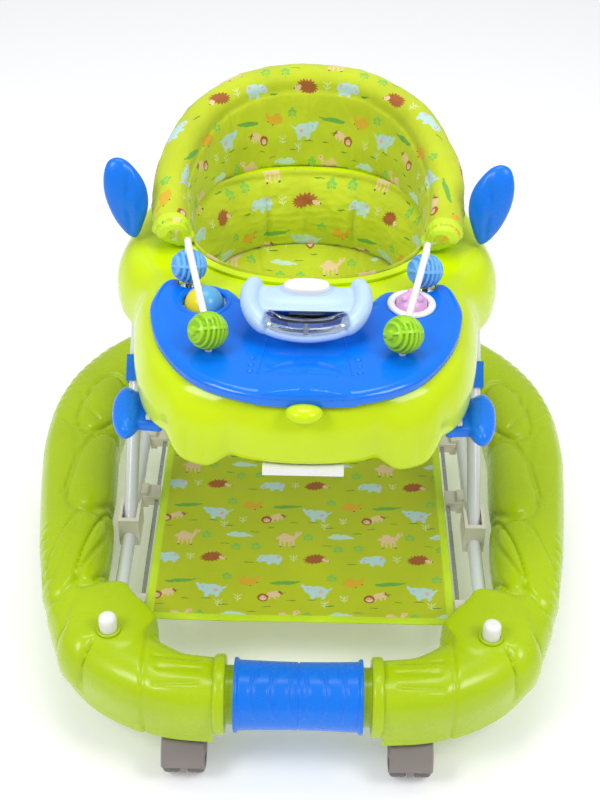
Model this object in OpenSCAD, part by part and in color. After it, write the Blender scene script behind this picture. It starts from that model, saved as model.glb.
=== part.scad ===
// Baby walker with a folding X frame: two moulded base shells on six twin-wheel
// castors, steel tube frame, play tray and hanging fabric seat.
// Origin: middle of the footprint on the floor. -Y is the front. Millimetres.

/* [Base] */
// Height of the base shells' lower edge above the floor
base_bottom = 60; // [58:1:64]
// Height of the base shells
base_height = 80; // [76:1:84]
// Wall of the moulded shells
shell_wall = 2.6; // [2.2:0.2:3.2]
// Radius of the front and rear cross bars
bar_r = 31; // [29:0.5:31.2]
// Distance from the centre to the front and rear bar axes
bar_y = 320; // [318:1:320]
// Height of the bar axes
bar_z = 101; // [100:1:102]

/* [Castors] */
// Wheel radius
wheel_r = 26.5; // [25:0.5:26.5]
// How far the wheel trails behind its stem
trail = 18; // [15:1:19]
// Overall width of the twin wheels
castor_w = 47; // [42:1:50]

/* [Frame] */
// Outer radius of the steel tubes
tube_r = 8; // [7.6:0.1:8]
// Distance from the centre to the side rails and outer legs
rail_x = 206; // [205:0.5:206.5]
// Distance from the centre to the inner legs
inner_x = 146; // [144:1:147]
// Height of the side rails
rail_z = 97; // [96:0.5:97.5]

/* [Tray] */
// Height of the tray's flat top
tray_top = 438; // [437:0.5:439]
// Wall of the tray moulding
tray_wall = 3; // [2.6:0.2:3.4]

/* [Steering wheel] */
// Tilt of the steering wheel towards the child
wheel_tilt = -6; // [-8:1:-4]
// Width of the steering wheel
wheel_w = 133; // [120:1:136]

/* [Hidden] */

lime = "#c3dc1e"; base_lime = "#b9d41c"; blue = "#1e87eb"; pale = "#c8dcf8";
ivory = "#e3dcc6"; steel = "#e0e2e2"; grey = "#a49c9c"; white = "#eeecea";

// Scissor frame: lower rear pivot, lower front pivot, both in (y, z)
rear_piv = [199, 115];
slide_piv = [-57, 115];
top_z = 358;
cross = [71, (115 + top_z) / 2];
leg_ang = atan2(top_z - 115, rear_piv[0] - slide_piv[0]);
leg_len = norm([rear_piv[0] - slide_piv[0], top_z - 115]);

// Castor stems
stems = [[122, -314], [281, 20], [150, 308]];
stop_xy = [205, -268];

// ---- curve helpers ----
function crp(a, b, c, d, t) = 0.5 * (2 * b + (c - a) * t
  + (2 * a - 5 * b + 4 * c - d) * t * t + (3 * b - a - 3 * c + d) * t * t * t);
function cr_open(P, n) = let (m = len(P)) [for (i = [0:m - 2], k = [0:n - 1])
  crp(P[max(i - 1, 0)], P[i], P[i + 1], P[min(i + 2, m - 1)], k / n), P[m - 1]];
function cr_closed(P, n) = let (m = len(P)) [for (i = [0:m - 1], k = [0:n - 1])
  crp(P[(i + m - 1) % m], P[i], P[(i + 1) % m], P[(i + 2) % m], k / n)];
function mirx(P) = [for (i = [len(P) - 1:-1:0]) [-P[i][0], P[i][1]]];
function spow(v, e) = sign(v) * pow(abs(v), e);

// rings joined in order; wrap joins the last ring to the first
module skin(rings, wrap = false) {
  n = len(rings[0]); m = len(rings);
  pts = [for (r = rings) each r];
  side = [for (i = [0:m - (wrap ? 1 : 2)], k = [0:n - 1])
    [i * n + k, i * n + (k + 1) % n, ((i + 1) % m) * n + (k + 1) % n, ((i + 1) % m) * n + k]];
  caps = wrap ? [] : [[for (k = [n - 1:-1:0]) k], [for (k = [0:n - 1]) (m - 1) * n + k]];
  polyhedron(pts, concat(side, caps), convexity = 8);
}

// ---- base ring ----
// outer x, outer y, width, height of the section
base_rows = [[89.5, -358, 76, 76], [140, -353, 78, 77], [185, -337, 84, 79],
  [226, -311, 88, 80], [258, -275, 88, 80], [276, -240, 82, 80], [291, -185, 72, 80],
  [305, -118, 80, 80], [317, -50, 88, 80], [327, 20, 92, 80], [331, 75, 94, 80],
  [327, 135, 92, 80], [311, 200, 86, 80], [281, 258, 82, 80], [240, 304, 82, 80],
  [190, 338, 80, 79], [140, 355, 78, 77], [89.5, 358, 76, 76]];
base_path = cr_open(base_rows, 3);
function path_n(P, i) = let (a = P[max(i - 1, 0)], b = P[min(i + 1, len(P) - 1)],
  t = [b[0] - a[0], b[1] - a[1]] / norm([b[0] - a[0], b[1] - a[1]])) [-t[1], t[0]];
function path_nn(P, i) = (i == 0) ? [0, 1] : (i == len(P) - 1) ? [0, -1] : path_n(P, i);
sec_n = 12;
function section(w, h, q) = concat(
  [[0.90 * w / 2, -h / 2 + q[1]], [0.985 * w / 2, -h / 5]] - [[q[0], 0], [q[0], 0]],
  [for (k = [0:sec_n]) let (a = 180 * k / sec_n)
    [(w / 2 - q[0]) * spow(cos(a), 0.8), (h / 2 - q[0]) * spow(sin(a), 0.8)]],
  [[-0.985 * w / 2, -h / 5], [-0.90 * w / 2, -h / 2 + q[1]]] + [[q[0], 0], [q[0], 0]]);
function shell_ring(P, i, s) = let (r = P[i], n = path_nn(P, i),
    c = [r[0], r[1]] + n * r[2] / 2, zc = base_bottom + base_height / 2 + (bar_z - 100) * 0,
    o = section(r[2], r[3], [0, 0]), q = section(r[2], r[3], [shell_wall, 0]),
    f = concat(o, [for (k = [len(q) - 1:-1:0]) q[k]]))
  [for (p = f) [s * (c[0] - n[0] * p[0]), c[1] - n[1] * p[0], zc + p[1]]];
module shell_solid(s) {
  m = len(base_path); n = 2 * (sec_n + 5); h = n / 2;
  rings = [for (i = [0:m - 1]) shell_ring(base_path, i, s)];
  pts = [for (r = rings) each r];
  side = [for (i = [0:m - 2], k = [0:n - 1])
    [i * n + k, i * n + (k + 1) % n, (i + 1) * n + (k + 1) % n, (i + 1) * n + k]];
  cap = [for (k = [0:h - 2]) [k, n - 1 - k, n - 2 - k, k + 1]];
  f = concat(side, cap, [for (c = cap) [for (j = [3:-1:0]) c[j] + (m - 1) * n]]);
  polyhedron(pts, s < 0 ? [for (q = f) [for (j = [3:-1:0]) q[j]]] : f, convexity = 10);
}
module flange(s, y) translate([s * 77, y, bar_z]) rotate([0, s * 90, 0])
  rotate_extrude($fn = 64) polygon([[bar_r + 0.3, 0], [41, 0], [42.5, 2], [42.5, 10], [41, 12.2], [bar_r + 0.3, 12.2]]);
module base_shell(s) color(base_lime) {
  difference() {
    shell_solid(s);
    translate([s * stop_xy[0], stop_xy[1], base_bottom + 50]) cylinder(r = 10.2, h = 60, $fn = 48);
  }
  flange(s, -bar_y);
  flange(s, bar_y);
}
module base_pan(s) color(base_lime) difference() {
  union() {
    translate([0, 0, base_bottom]) linear_extrude(3) polygon(
      let (m = len(base_path), P = base_path)
      concat([for (i = [1:m - 2]) let (r = P[i], n = path_nn(P, i), c = [r[0], r[1]] + n * r[2] / 2,
          p = c - n * (0.90 * r[2] / 2 - shell_wall - 0.5)) [s * p[0], p[1]]],
        [for (i = [m - 2:-1:1]) let (r = P[i], n = path_nn(P, i), c = [r[0], r[1]] + n * r[2] / 2,
          p = c + n * (0.90 * r[2] / 2 - shell_wall - 0.5)) [s * p[0], p[1]]]));
    for (q = [stems[1], stems[2]]) translate([s * q[0], q[1], base_bottom + 1]) cylinder(r = 10, h = 43, $fn = 40);
    translate([s * stems[0][0], stems[0][1], base_bottom + 1]) cylinder(r = 6.9, h = 8, $fn = 40);
    translate([s * stop_xy[0], stop_xy[1], base_bottom + 1]) cylinder(r = 10, h = 24, $fn = 40);
  }
  for (q = stems) translate([s * q[0], q[1], base_bottom - 1]) cylinder(r = 4.56, h = 41, $fn = 40);
  translate([s * stop_xy[0], stop_xy[1], base_bottom - 1]) cylinder(r = 6.4, h = 60, $fn = 40);
}
module cross_bar(y) translate([-118, y, bar_z]) rotate([0, 90, 0]) difference() {
  cylinder(r = bar_r, h = 236, $fn = 64);
  translate([0, 0, -1]) cylinder(r = bar_r - 3, h = 238, $fn = 64);
}
module front_bar() color(base_lime) difference() {
  cross_bar(-bar_y);
  for (s = [-1, 1]) translate([s * stems[0][0], stems[0][1], 40]) cylinder(r = 9, h = 100, $fn = 32);
}
module rear_bar() color(base_lime) cross_bar(bar_y);
module front_sleeve() color(blue) translate([-68, -bar_y, bar_z]) rotate([0, 90, 0])
  rotate_extrude($fn = 64) polygon([[bar_r + 0.3, 0], [39, 0], [39.5, 1], [39.5, 4], [37, 6], [37, 67],
    [36.2, 68], [37, 69], [37, 130], [39.5, 132], [39.5, 135], [39, 136], [bar_r + 0.3, 136]]);

// ---- steel rails, brackets and mat ----
module ycyl(x, y0, y1, z, r, f = 40) translate([x, y0, z]) rotate([-90, 0, 0]) cylinder(r = r, h = y1 - y0, $fn = f);
module xcyl(x0, x1, y, z, r, f = 40) translate([x0, y, z]) rotate([0, 90, 0]) cylinder(r = r, h = x1 - x0, $fn = f);
module side_rails() color(steel) for (s = [-1, 1]) difference() {
  ycyl(s * rail_x, -183, 181, rail_z, tube_r);
  ycyl(s * rail_x, -184, 182, rail_z, tube_r - 1.2);
}
module rail_front_brackets() color(ivory) for (s = [-1, 1]) difference() {
  union() {
    translate([s * (rail_x - 2.5) - 11, -187, rail_z - 13]) cube([22, 13, 25]);
    translate([s * 184.5 - 8.3, -187, rail_z - 9]) cube([16.6, 13, 12]);
  }
  ycyl(s * rail_x, -184, -170, rail_z, tube_r + 0.05);
  ycyl(s * 180, -190, -170, rail_z - 2, 2.6, 24);
}
module rail_rear_brackets() color(ivory) for (s = [-1, 1]) difference() {
  union() {
    translate([s * 184 - 9.5, 170, rail_z - 13]) cube([19, 41, 42]);
    translate([s * 196 - 20, 168, rail_z - 12]) cube([40, 16, 24]);
  }
  ycyl(s * rail_x, 160, 182, rail_z, tube_r + 0.05);
  xcyl(s * 184 - 30, s * 184 + 30, rear_piv[0], rear_piv[1], tube_r + 0.06);
}
module mat_clips() color(ivory) for (s = [-1, 1], y = [0, 113]) difference() {
  union() {
    translate([s * 187.3 - 10.5, y - 12, rail_z - 9]) cube([21, 24, 13]);
    translate([s * 195 - 4, y - 9, rail_z - 15]) cube([8, 18, 24]);
  }
  ycyl(s * rail_x, y - 20, y + 20, rail_z, tube_r + 0.05);
  ycyl(s * 180, y - 20, y + 20, rail_z - 2, 2.6, 24);
}
module mat_side_rods() color(steel) for (s = [-1, 1]) ycyl(s * 180, -206, 148, rail_z - 2, 2.5, 24);
module foot_mat() color(lime) translate([-175.5, -209, rail_z - 3]) cube([351, 359, 2.4]);

// ---- castors; stem at the origin, wheel trails to -y ----
module hood_local() color(grey) {
  difference() {
    union() {
      translate([0, -trail, wheel_r]) rotate([0, 90, 0]) rotate([0, 0, 88])
        rotate_extrude(angle = 176, $fn = 64) polygon([[28.3, -castor_w / 2], [30.6, -castor_w / 2 + 1.5],
          [30.6, castor_w / 2 - 1.5], [28.3, castor_w / 2]]);
      translate([0, 0, 46]) cylinder(r = 11, h = 12.4, $fn = 48);
    }
    xcyl(-30, 30, -trail, wheel_r, 28.3, 64);
  }
  difference() {
    union() {
      xcyl(-3, 3, -trail, wheel_r, 28.6, 64);
      xcyl(-castor_w / 2 + 2, castor_w / 2 - 2, -trail, wheel_r, 3, 32);
    }
    translate([-40, -trail - 40, -20]) cube([80, 80, 20 + wheel_r - 8]);
  }
  cylinder_stem();
}
module cylinder_stem() translate([0, 0, 57]) cylinder(r = 4.5, h = 41, $fn = 40);
module wheels_local() color(grey) for (s = [-1, 1]) translate([s * 3.6, -trail, wheel_r]) rotate([0, s * 90, 0])
  rotate_extrude($fn = 64) polygon([[3.06, 0], [24, 0], [wheel_r - 0.6, 1.5], [wheel_r, 5], [wheel_r, 14],
    [wheel_r - 1, 18], [22, 19.4], [20.5, 17.6], [8, 17.6], [7.4, 18.6], [3.06, 18.6]]);
module castor_hood(i, s) translate([s * stems[i][0], stems[i][1], 0]) hood_local();
module castor_wheels(i, s) translate([s * stems[i][0], stems[i][1], 0]) wheels_local();

// ---- push-down stoppers ----
module stopper(s) color(white) translate([s * stop_xy[0], stop_xy[1], 0]) rotate_extrude($fn = 48)
  polygon([[0, 34], [6, 34], [6, 118], [9.75, 120], [9.75, 158], [9, 160.6], [7, 162], [0, 162.4]]);
module stopper_foot(s) color("#4a4a4a") translate([s * stop_xy[0], stop_xy[1], 0]) rotate_extrude($fn = 48)
  polygon([[0, 20], [13, 20], [14, 22], [12, 33], [0, 33.9]]);

// ---- scissor legs ----
module leg_tube(x, foot, dir, a, l0, l1, r) translate([x, foot[0], foot[1]])
  rotate([dir > 0 ? -(90 - a) : 90 - a, 0, 0]) translate([0, 0, l0]) cylinder(r = r, h = l1 - l0, $fn = 40);
module leg_outer() color(steel) difference() {
  union() {
    for (s = [-1, 1]) {
      leg_tube(s * rail_x, slide_piv, 1, leg_ang, -7.6, leg_len, tube_r);
      translate([s * rail_x, rear_piv[0], top_z]) sphere(r = tube_r + 1, $fn = 40);
    }
    xcyl(-rail_x, rail_x, rear_piv[0], top_z, tube_r - 0.4);
  }
  for (s = [-1, 1]) {
    leg_tube(s * rail_x, slide_piv, 1, leg_ang, -20, leg_len - 1, tube_r - 1.3);
    xcyl(s * rail_x - 20, s * rail_x + 20, slide_piv[0], slide_piv[1], 3.05, 32);
    xcyl(s * rail_x - 20, s * rail_x + 20, cross[0], cross[1], 3.05, 32);
  }
  xcyl(-rail_x + 1, rail_x - 1, rear_piv[0], top_z, tube_r - 1.8);
  for (s = [-1, 1]) translate([s * rail_x - 12, slide_piv[0] - 40, 90]) cube([24, 50, 17]);
}
module leg_inner() color(steel) difference() {
  union() {
    for (s = [-1, 1]) leg_tube(s * inner_x, rear_piv, -1, leg_ang, 0, leg_len + 7.6, tube_r);
    xcyl(-192, 192, rear_piv[0], rear_piv[1], tube_r);
    for (s = [-1, 1]) translate([s * inner_x, rear_piv[0], rear_piv[1]]) sphere(r = tube_r + 1.4, $fn = 40);
  }
  for (s = [-1, 1]) {
    leg_tube(s * inner_x, rear_piv, -1, leg_ang, 2, leg_len + 20, tube_r - 1.3);
    xcyl(s * inner_x - 20, s * inner_x + 20, slide_piv[0], top_z, 3.05, 32);
    xcyl(s * inner_x - 20, s * inner_x + 20, cross[0], cross[1], 3.06, 32);
  }
  xcyl(-200, 200, rear_piv[0], rear_piv[1], tube_r - 1.8);
}
module leg_inner_rollers() color(ivory) for (s = [-1, 1]) translate([s * (inner_x - 8), slide_piv[0], top_z])
  rotate([0, s * 90, 0]) rotate_extrude($fn = 40) polygon([[0, 0], [3, 0], [3, 16.3], [8, 16.3], [8, 23], [0, 23]]);
module cross_clamps() color(blue) for (s = [-1, 1]) difference() {
  union() {
    translate([s * (rail_x - 1), cross[0], cross[1]]) rotate([-(90 - leg_ang), 0, 0])
      translate([-11.5, -12, -16]) cube([23, 24, 32]);
    xcyl(s * (rail_x - 1) - 11.5, s * (rail_x - 1) + 11.5, cross[0] + 9, cross[1] - 10, 12);
  }
  leg_tube(s * rail_x, slide_piv, 1, leg_ang, 100, 260, tube_r + 0.05);
  xcyl(s * rail_x - 30, s * rail_x + 30, cross[0], cross[1], 3.05, 32);
}
module leg_pins() color(steel) for (s = [-1, 1]) {
  translate([s * (rail_x - 12), slide_piv[0], slide_piv[1]]) rotate([0, s * 90, 0]) cylinder(r = 3, h = 24, $fn = 32);
  translate([s * (inner_x - 10), cross[0], cross[1]]) rotate([0, s * 90, 0]) cylinder(r = 3, h = rail_x - inner_x + 21, $fn = 32);
}
module rail_sliders() color(ivory) for (s = [-1, 1]) difference() {
  translate([s * rail_x - 12.3, slide_piv[0] - 23, rail_z - 12]) cube([24.6, 46, 39]);
  ycyl(s * rail_x, slide_piv[0] - 30, slide_piv[0] + 30, rail_z, tube_r + 0.08);
  translate([s * rail_x - 8.5, slide_piv[0] - 17, rail_z + 9.4]) cube([17, 60, 40]);
  xcyl(s * rail_x - 30, s * rail_x + 30, slide_piv[0], slide_piv[1], 3.06, 32);
}

// ---- tray ----
tray_half = [[0, -257], [46, -253], [92, -240], [136, -217], [163, -180], [177, -128],
  [184, -75], [189, -35], [206, 0], [214, 35], [209, 80], [198, 130], [178, 180], [138, 222], [76, 246]];
tray_ctrl = concat(tray_half, [[0, 253]], [for (i = [len(tray_half) - 1:-1:1]) [-tray_half[i][0], tray_half[i][1]]]);
tray_line = cr_closed(tray_ctrl, 3);
seat_c = [0, 84];
function open_pt(p, g) = let (a = atan2(p[1] - seat_c[1], p[0]),
    r = 1 / pow(pow(abs(cos(a)) / (141 + g), 2.3) + pow(abs(sin(a)) / (124 + g), 2.3), 1 / 2.3))
  [seat_c[0] + r * cos(a), seat_c[1] + r * sin(a)];
function cl_n(P, i) = let (m = len(P), a = P[(i + m - 1) % m], b = P[(i + 1) % m],
    t = (b - a) / norm(b - a)) [-t[1], t[0]];
function paw(p) = p[1] < -150 ? exp(-pow((abs(p[0]) - 107) / 21, 2)) : 0;
function tray_ring(g, z, mixk, og, dz) = [for (i = [0:len(tray_line) - 1])
  let (p = tray_line[i], n = cl_n(tray_line, i), w = paw(p),
    o = p + n * (g - 5 * w), q = open_pt(p, og), r = o + (q - o) * mixk) [r[0], r[1], z - dz * w]];
module tray_solid() skin([
  tray_ring(3, 368, 0, 0, 16), tray_ring(0, 376, 0, 0, 12), tray_ring(0, 396, 0, 0, 6),
  tray_ring(4, 414, 0, 0, 2), tray_ring(10, 428, 0, 0, 0), tray_ring(18, 436, 0, 0, 0),
  tray_ring(28, tray_top, 0, 0, 0), tray_ring(28, tray_top, 1, 3, 0), tray_ring(28, tray_top - 2, 1, 0, 0),
  tray_ring(28, 424, 1, 0, 0), tray_ring(28, 424, 1, 3, 0), tray_ring(28, tray_top - tray_wall - 1, 1, 4, 0),
  tray_ring(28, tray_top - tray_wall, 0, 0, 0), tray_ring(18 + 1, 436 - tray_wall, 0, 0, 0),
  tray_ring(12 + 1, 426, 0, 0, 0), tray_ring(4 + tray_wall, 412, 0, 0, 2),
  tray_ring(tray_wall, 395, 0, 0, 6), tray_ring(tray_wall, 376, 0, 0, 12),
  tray_ring(3 + tray_wall, 368, 0, 0, 16)], wrap = true);
ball_xy = [-106, -90]; dome_xy = [109, -90];
module tray_shell() color(lime) difference() {
  mirror([0, 0, 0]) tray_solid();
  translate([ball_xy[0], ball_xy[1], 410]) cylinder(r = 23.4, h = 50, $fn = 48);
}
module seat_ring() color(lime) union() {
  difference() {
    translate([0, 0, 416]) linear_extrude(24) polygon([for (p = tray_line) open_pt(p, -0.6)]);
    translate([0, 0, 410]) linear_extrude(40) polygon([for (p = tray_line) open_pt(p, -4)]);
  }
  difference() {
    translate([0, 0, tray_top + 0.4]) linear_extrude(3) polygon([for (p = tray_line) open_pt(p, 5)]);
    translate([0, 0, 410]) linear_extrude(40) polygon([for (p = tray_line) open_pt(p, -4)]);
  }
}
module tray_hinge_blocks() color(ivory) for (s = [-1, 1]) difference() {
  union() {
    xcyl(s * 168 - 8, s * 168 + 8, rear_piv[0], top_z, 13);
    translate([s * 168 - 8, rear_piv[0] - 42, top_z - 4]) cube([16, 42, 13]);
    translate([s * 159 - 6, rear_piv[0] - 42, top_z + 2]) cube([12, 14, 424 - top_z - 2]);
  }
  translate([s * 168 - 20, rear_piv[0] - 26, top_z + 9.2]) cube([40, 60, 20]);
  xcyl(s * 168 - 30, s * 168 + 30, rear_piv[0], top_z, tube_r - 0.4 + 0.06);
}

module tray_channels() color(ivory) for (s = [-1, 1]) {
  difference() {
    translate([s * 159.5 - 5.2, -158, top_z - 11]) cube([10.4, 122, 24]);
    translate([s * 157.8 - 5.6, -150, top_z - 8.5]) cube([11.2, 106, 17]);
  }
  translate([s * 158.5 - 3, -110, top_z + 13]) cube([6, 60, tray_top - tray_wall - 1.8 - top_z - 13]);
  translate([s * 158, -180, 344]) cylinder(r = 3, h = 23, $fn = 32);
  translate([s * 158 - 3.6, -184, 363.2]) cube([7.2, 27, 4.2]);
}
panel_half = [[0, -242], [60, -236], [112, -210], [147, -160], [161, -105], [158, -72], [149, -48],
  [134, -46], [112, -62], [84, -62], [66, -84], [58, -92]];
panel_ctrl = concat(panel_half, [[0, -92]], [for (i = [len(panel_half) - 1:-1:1]) [-panel_half[i][0], panel_half[i][1]]]);
panel_z = tray_top + 0.3;
panel_top = panel_z + 9;
module toy_panel() color(blue) difference() {
  union() {
    translate([0, 0, panel_z]) linear_extrude(9) polygon(cr_closed(panel_ctrl, 4));
    translate([0, 0, panel_z + 8]) intersection() {
      linear_extrude(3) polygon(cr_closed([[0, -232], [48, -224], [52, -200], [30, -184], [0, -180], [-30, -184], [-52, -200], [-48, -224]], 4));
      translate([-80, -240, 0]) cube([160, 80, 3]);
    }
  }
  translate([ball_xy[0], ball_xy[1], 400]) cylinder(r = 22.35, h = 80, $fn = 64);
  xcyl(ball_xy[0] - 26, ball_xy[0] + 26, ball_xy[1], panel_z + 4, 2.56, 24);
  translate([dome_xy[0], dome_xy[1], 400]) cylinder(r = 17.4, h = 80, $fn = 64);
  for (s = [-1, 1]) translate([s * 124, -52, 400]) cylinder(r = 13.3, h = 80, $fn = 48);
}
module ball() color("#e8e23c") union() {
  translate([ball_xy[0], ball_xy[1], panel_z + 4]) sphere(r = 20.5, $fn = 64);
  xcyl(ball_xy[0] - 25.5, ball_xy[0] + 25.5, ball_xy[1], panel_z + 4, 2.5, 24);
}
module dome() color("#e8b0dc") translate([dome_xy[0], dome_xy[1], panel_z]) rotate_extrude($fn = 64)
  polygon(concat([[0, 0.2], [16.9, 0.2], [16.9, 9]], [for (a = [10:10:80]) [16.9 * cos(a), 9 + 14.5 * sin(a)]], [[0, 23.5]]));
module dome_ring() color(white) translate([dome_xy[0], dome_xy[1], panel_top + 0.1]) rotate_extrude($fn = 64)
  polygon([[17.3, 0], [25, 0], [24.4, 2], [22.6, 3.4], [19, 3.4], [17.3, 2.6]]);
module ears() color(blue) for (s = [-1, 1]) hull() {
  translate([s * 192, 22, 447]) sphere(r = 5, $fn = 24);
  translate([s * 190, 46, 452]) sphere(r = 6, $fn = 24);
  translate([s * 211, 52, 512]) sphere(r = 12, $fn = 24);
  translate([s * 199, 62, 510]) sphere(r = 13, $fn = 24);
  translate([s * 212, 60, 520]) sphere(r = 9, $fn = 24);
}
module latch(s) color(blue) difference() {
  union() {
    translate([s * 189, -166, 349]) linear_extrude(16) scale([1, 1]) polygon([for (a = [0:12:348])
      [19 * cos(a), 31 * sin(a) + (sin(a) > 0 ? -2 : 3) * abs(cos(a))]]);
    translate([0, 0, 352]) linear_extrude(10) polygon([for (p = [[150, -190], [155, -172], [176, -160], [186, -146], [186, -188], [172, -190]]) [s * p[0], p[1]]]);
  }
  translate([s * 158, -180, 330]) cylinder(r = 3.06, h = 60, $fn = 32);
}
module music_box() color(white) {
  difference() {
    translate([-46, -200, 366]) cube([92, 92, 67]);
    translate([-43, -197, 368.5]) cube([86, 86, 62]);
    translate([-30, -190, 360]) cube([60, 60, 10]);
  }
  for (s = [-1, 1]) difference() {
    translate([s * 41 - 5, -200, 354]) cube([10, 92, 12]);
    translate([s * 36 - 5, -201, 357.6]) cube([10, 94, 5.8]);
  }
}
module release_handle() color(white) union() {
  translate([-40, -258, 356]) cube([80, 16, 9]);
  translate([-38, -246, 358]) cube([76, 110, 5]);
}

// ---- steering wheel, in a frame leaning slightly forward ----
steer_c = [0, -135, 472];
module steer() translate(steer_c) rotate([-wheel_tilt, 0, 0]) children();
module steering_column() color(pale) {
  intersection() {
    steer() translate([0, 0, -44]) cylinder(r = 17, h = 35.6, $fn = 48);
    translate([-40, -200, panel_top + 0.1]) cube([80, 140, 80]);
  }
  steer() translate([0, 0, -9]) cylinder(r = 4, h = 10, $fn = 32);
}
w2 = wheel_w / 2;
wheel_half = [[0, 34], [24, 32.5], [42, 31], [54, 40.5], [62.5, 37], [w2 - 1, 20], [w2 - 4, -2], [52, -24], [28, -40], [0, -46]];
wheel_ctrl = concat(wheel_half, [for (i = [len(wheel_half) - 2:-1:1]) [-wheel_half[i][0], wheel_half[i][1]]]);
slot_ctrl = [[0, -12.5], [22, -11.5], [29, -14.5], [22, -22.5], [0, -26], [-22, -22.5], [-29, -14.5], [-22, -11.5]];
module steering_wheel() color(pale) steer() difference() {
  union() {
    translate([0, 0, -8]) linear_extrude(15) polygon(cr_closed(wheel_ctrl, 4));
    for (s = [-1, 1]) translate([s * 55.5, 30, -4]) cylinder(r = 9, h = 15, $fn = 32);
  }
  translate([0, 0, -20]) linear_extrude(40) polygon(cr_closed(slot_ctrl, 4));
  translate([0, 0, -20]) cylinder(r = 4.06, h = 24, $fn = 32);
  translate([0, 20, 2]) linear_extrude(20) offset_round(24, 10.6, 0.4);
}
module offset_round(hx, hy, g) polygon([for (a = [0:7.5:352.5])
  [(hx + g) * spow(cos(a), 0.7), (hy + g) * spow(sin(a), 0.9)]]);
module horn_button() color(white) steer() translate([0, 20, 5.2]) union() {
  linear_extrude(8) offset_round(24, 10.6, 0);
  translate([0, 0, 7.9]) linear_extrude(2.4) offset_round(21, 8.4, 0);
}
module steering_window() color([0.8, 0.88, 0.95, 0.5]) steer() translate([0, 0, 7.3]) linear_extrude(4) difference() {
  polygon(cr_closed([[0, -28], [22, -25], [34, -16.5], [38.5, -17.5], [43, -30.5], [26, -39.5], [0, -44.5],
    [-26, -39.5], [-43, -30.5], [-38.5, -17.5], [-34, -16.5], [-22, -25]], 3));
  translate([0, -36]) circle(r = 2.5, $fn = 20);
}

// ---- bead arches ----
rod_ctrl = [[124, -52, 439.4], [124, -52, 462], [124, -52.5, 484], [123.6, -58, 499], [122, -74, 508],
  [118, -92, 503], [107, -133, 485.5], [96, -174, 468], [91.2, -192, 460.3], [89.5, -199, 455.5], [89, -201, 448.8]];
rod_path = cr_open(rod_ctrl, 2);
function tangent(P, i) = let (a = P[max(i - 1, 0)], b = P[min(i + 1, len(P) - 1)]) (b - a) / norm(b - a);
module rod(s) skin([for (i = [0:len(rod_path) - 1])
  let (t = tangent(rod_path, i), u = cross3(t, [1, 0, 0]), v = cross3(t, u))
  [for (a = [0:45:315]) let (q = rod_path[i] + 3.3 * (cos(-s * a) * u + sin(-s * a) * v)) [s * q[0], q[1], q[2]]]]);
function cross3(a, b) = let (c = [a[1] * b[2] - a[2] * b[1], a[2] * b[0] - a[0] * b[2], a[0] * b[1] - a[1] * b[0]]) c / norm(c);
module arch_rods() color(white) for (s = [-1, 1]) rod(s);
module bead_feet() color(pale) for (s = [-1, 1]) {
  translate([s * 124, -52, tray_top + 0.3]) rotate_extrude($fn = 32) polygon([[4, 0], [13, 0], [9, 4], [5.5, 7], [4, 7]]);
}
fb_c = [96, -174, 468];
fb_d = [22, 82, 35] / norm([22, 82, 35]);
module bead(r, b) rotate_extrude($fn = 48) polygon(concat([for (a = [-78:12:78]) [r * cos(a), r * sin(a)]],
  [[b, r * 0.978], [b, -r * 0.978]]));
module bead_rear(s) color("#78b4f0") translate([s * 124, -52, 465.5]) bead(19, 3.9);
module bead_front(s) color(lime) translate([s * fb_c[0], fb_c[1], fb_c[2] + 1])
  rotate([0, acos(fb_d[2]), atan2(fb_d[1], s * fb_d[0])]) bead(20, 4.9);

// ---- fabric seat ----
// rim centre x, y, z and the outward lean
back_rows = [[149, 30, 458], [154, 66, 470], [152, 120, 491], [124, 190, 517], [70, 234, 533], [0, 247, 538]];
back_full = concat(back_rows, [for (i = [len(back_rows) - 2:-1:0]) [-back_rows[i][0], back_rows[i][1], back_rows[i][2]]]);
back_path = cr_open(back_full, 3);
module seat_back() color(lime) skin([for (i = [0:len(back_path) - 1])
  let (p = back_path[i], n = path_n(back_path, i), k = (p[2] - 444) / 94,
    b = [p[0], p[1]] + n * (14 + 14 * k), zt = p[2], zb = tray_top + 4.5)
  [for (q = [[-9 - 2 * k, 0, 1], [-17, 0.55, 0], [-20, 1, 0], [-14, 1, 13], [0, 1, 18.5], [14, 1, 13], [19, 1, -2], [13, 0.45, 0], [5 - 2 * k, 0, 1]])
    let (c = b + ([p[0], p[1]] - b) * q[1] + n * q[0]) [c[0], c[1], zb + (zt - zb) * q[1] + q[2]]]]);
sling_rows = [[134, 117, 84, 442], [132, 115, 84, 400], [125, 103, 84, 352], [106, 88, 84, 314], [78, 66, 84, 294], [44, 38, 84, 288]];
function sling_ring(r, g) = [for (a = [0:11.25:348.75]) [(r[0] - g) * spow(cos(a), 0.9), r[2] + (r[1] - g) * spow(sin(a), 0.9), r[3]]];
module seat_sling() color(lime) difference() {
  skin([for (i = [0:5]) sling_ring(sling_rows[i], 0)]);
  skin([for (r = [[134, 117, 84, 450], [132, 115, 84, 400], [125, 103, 84, 353], [106, 88, 84, 316], [78, 66, 84, 297.5], [44, 38, 84, 292.4]]) sling_ring(r, 4)]);
  for (s = [-1, 1]) translate([s * 46, -22, 330]) rotate([-62, 0, 0]) cylinder(r = 32, h = 110, center = true, $fn = 48);
}

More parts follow.
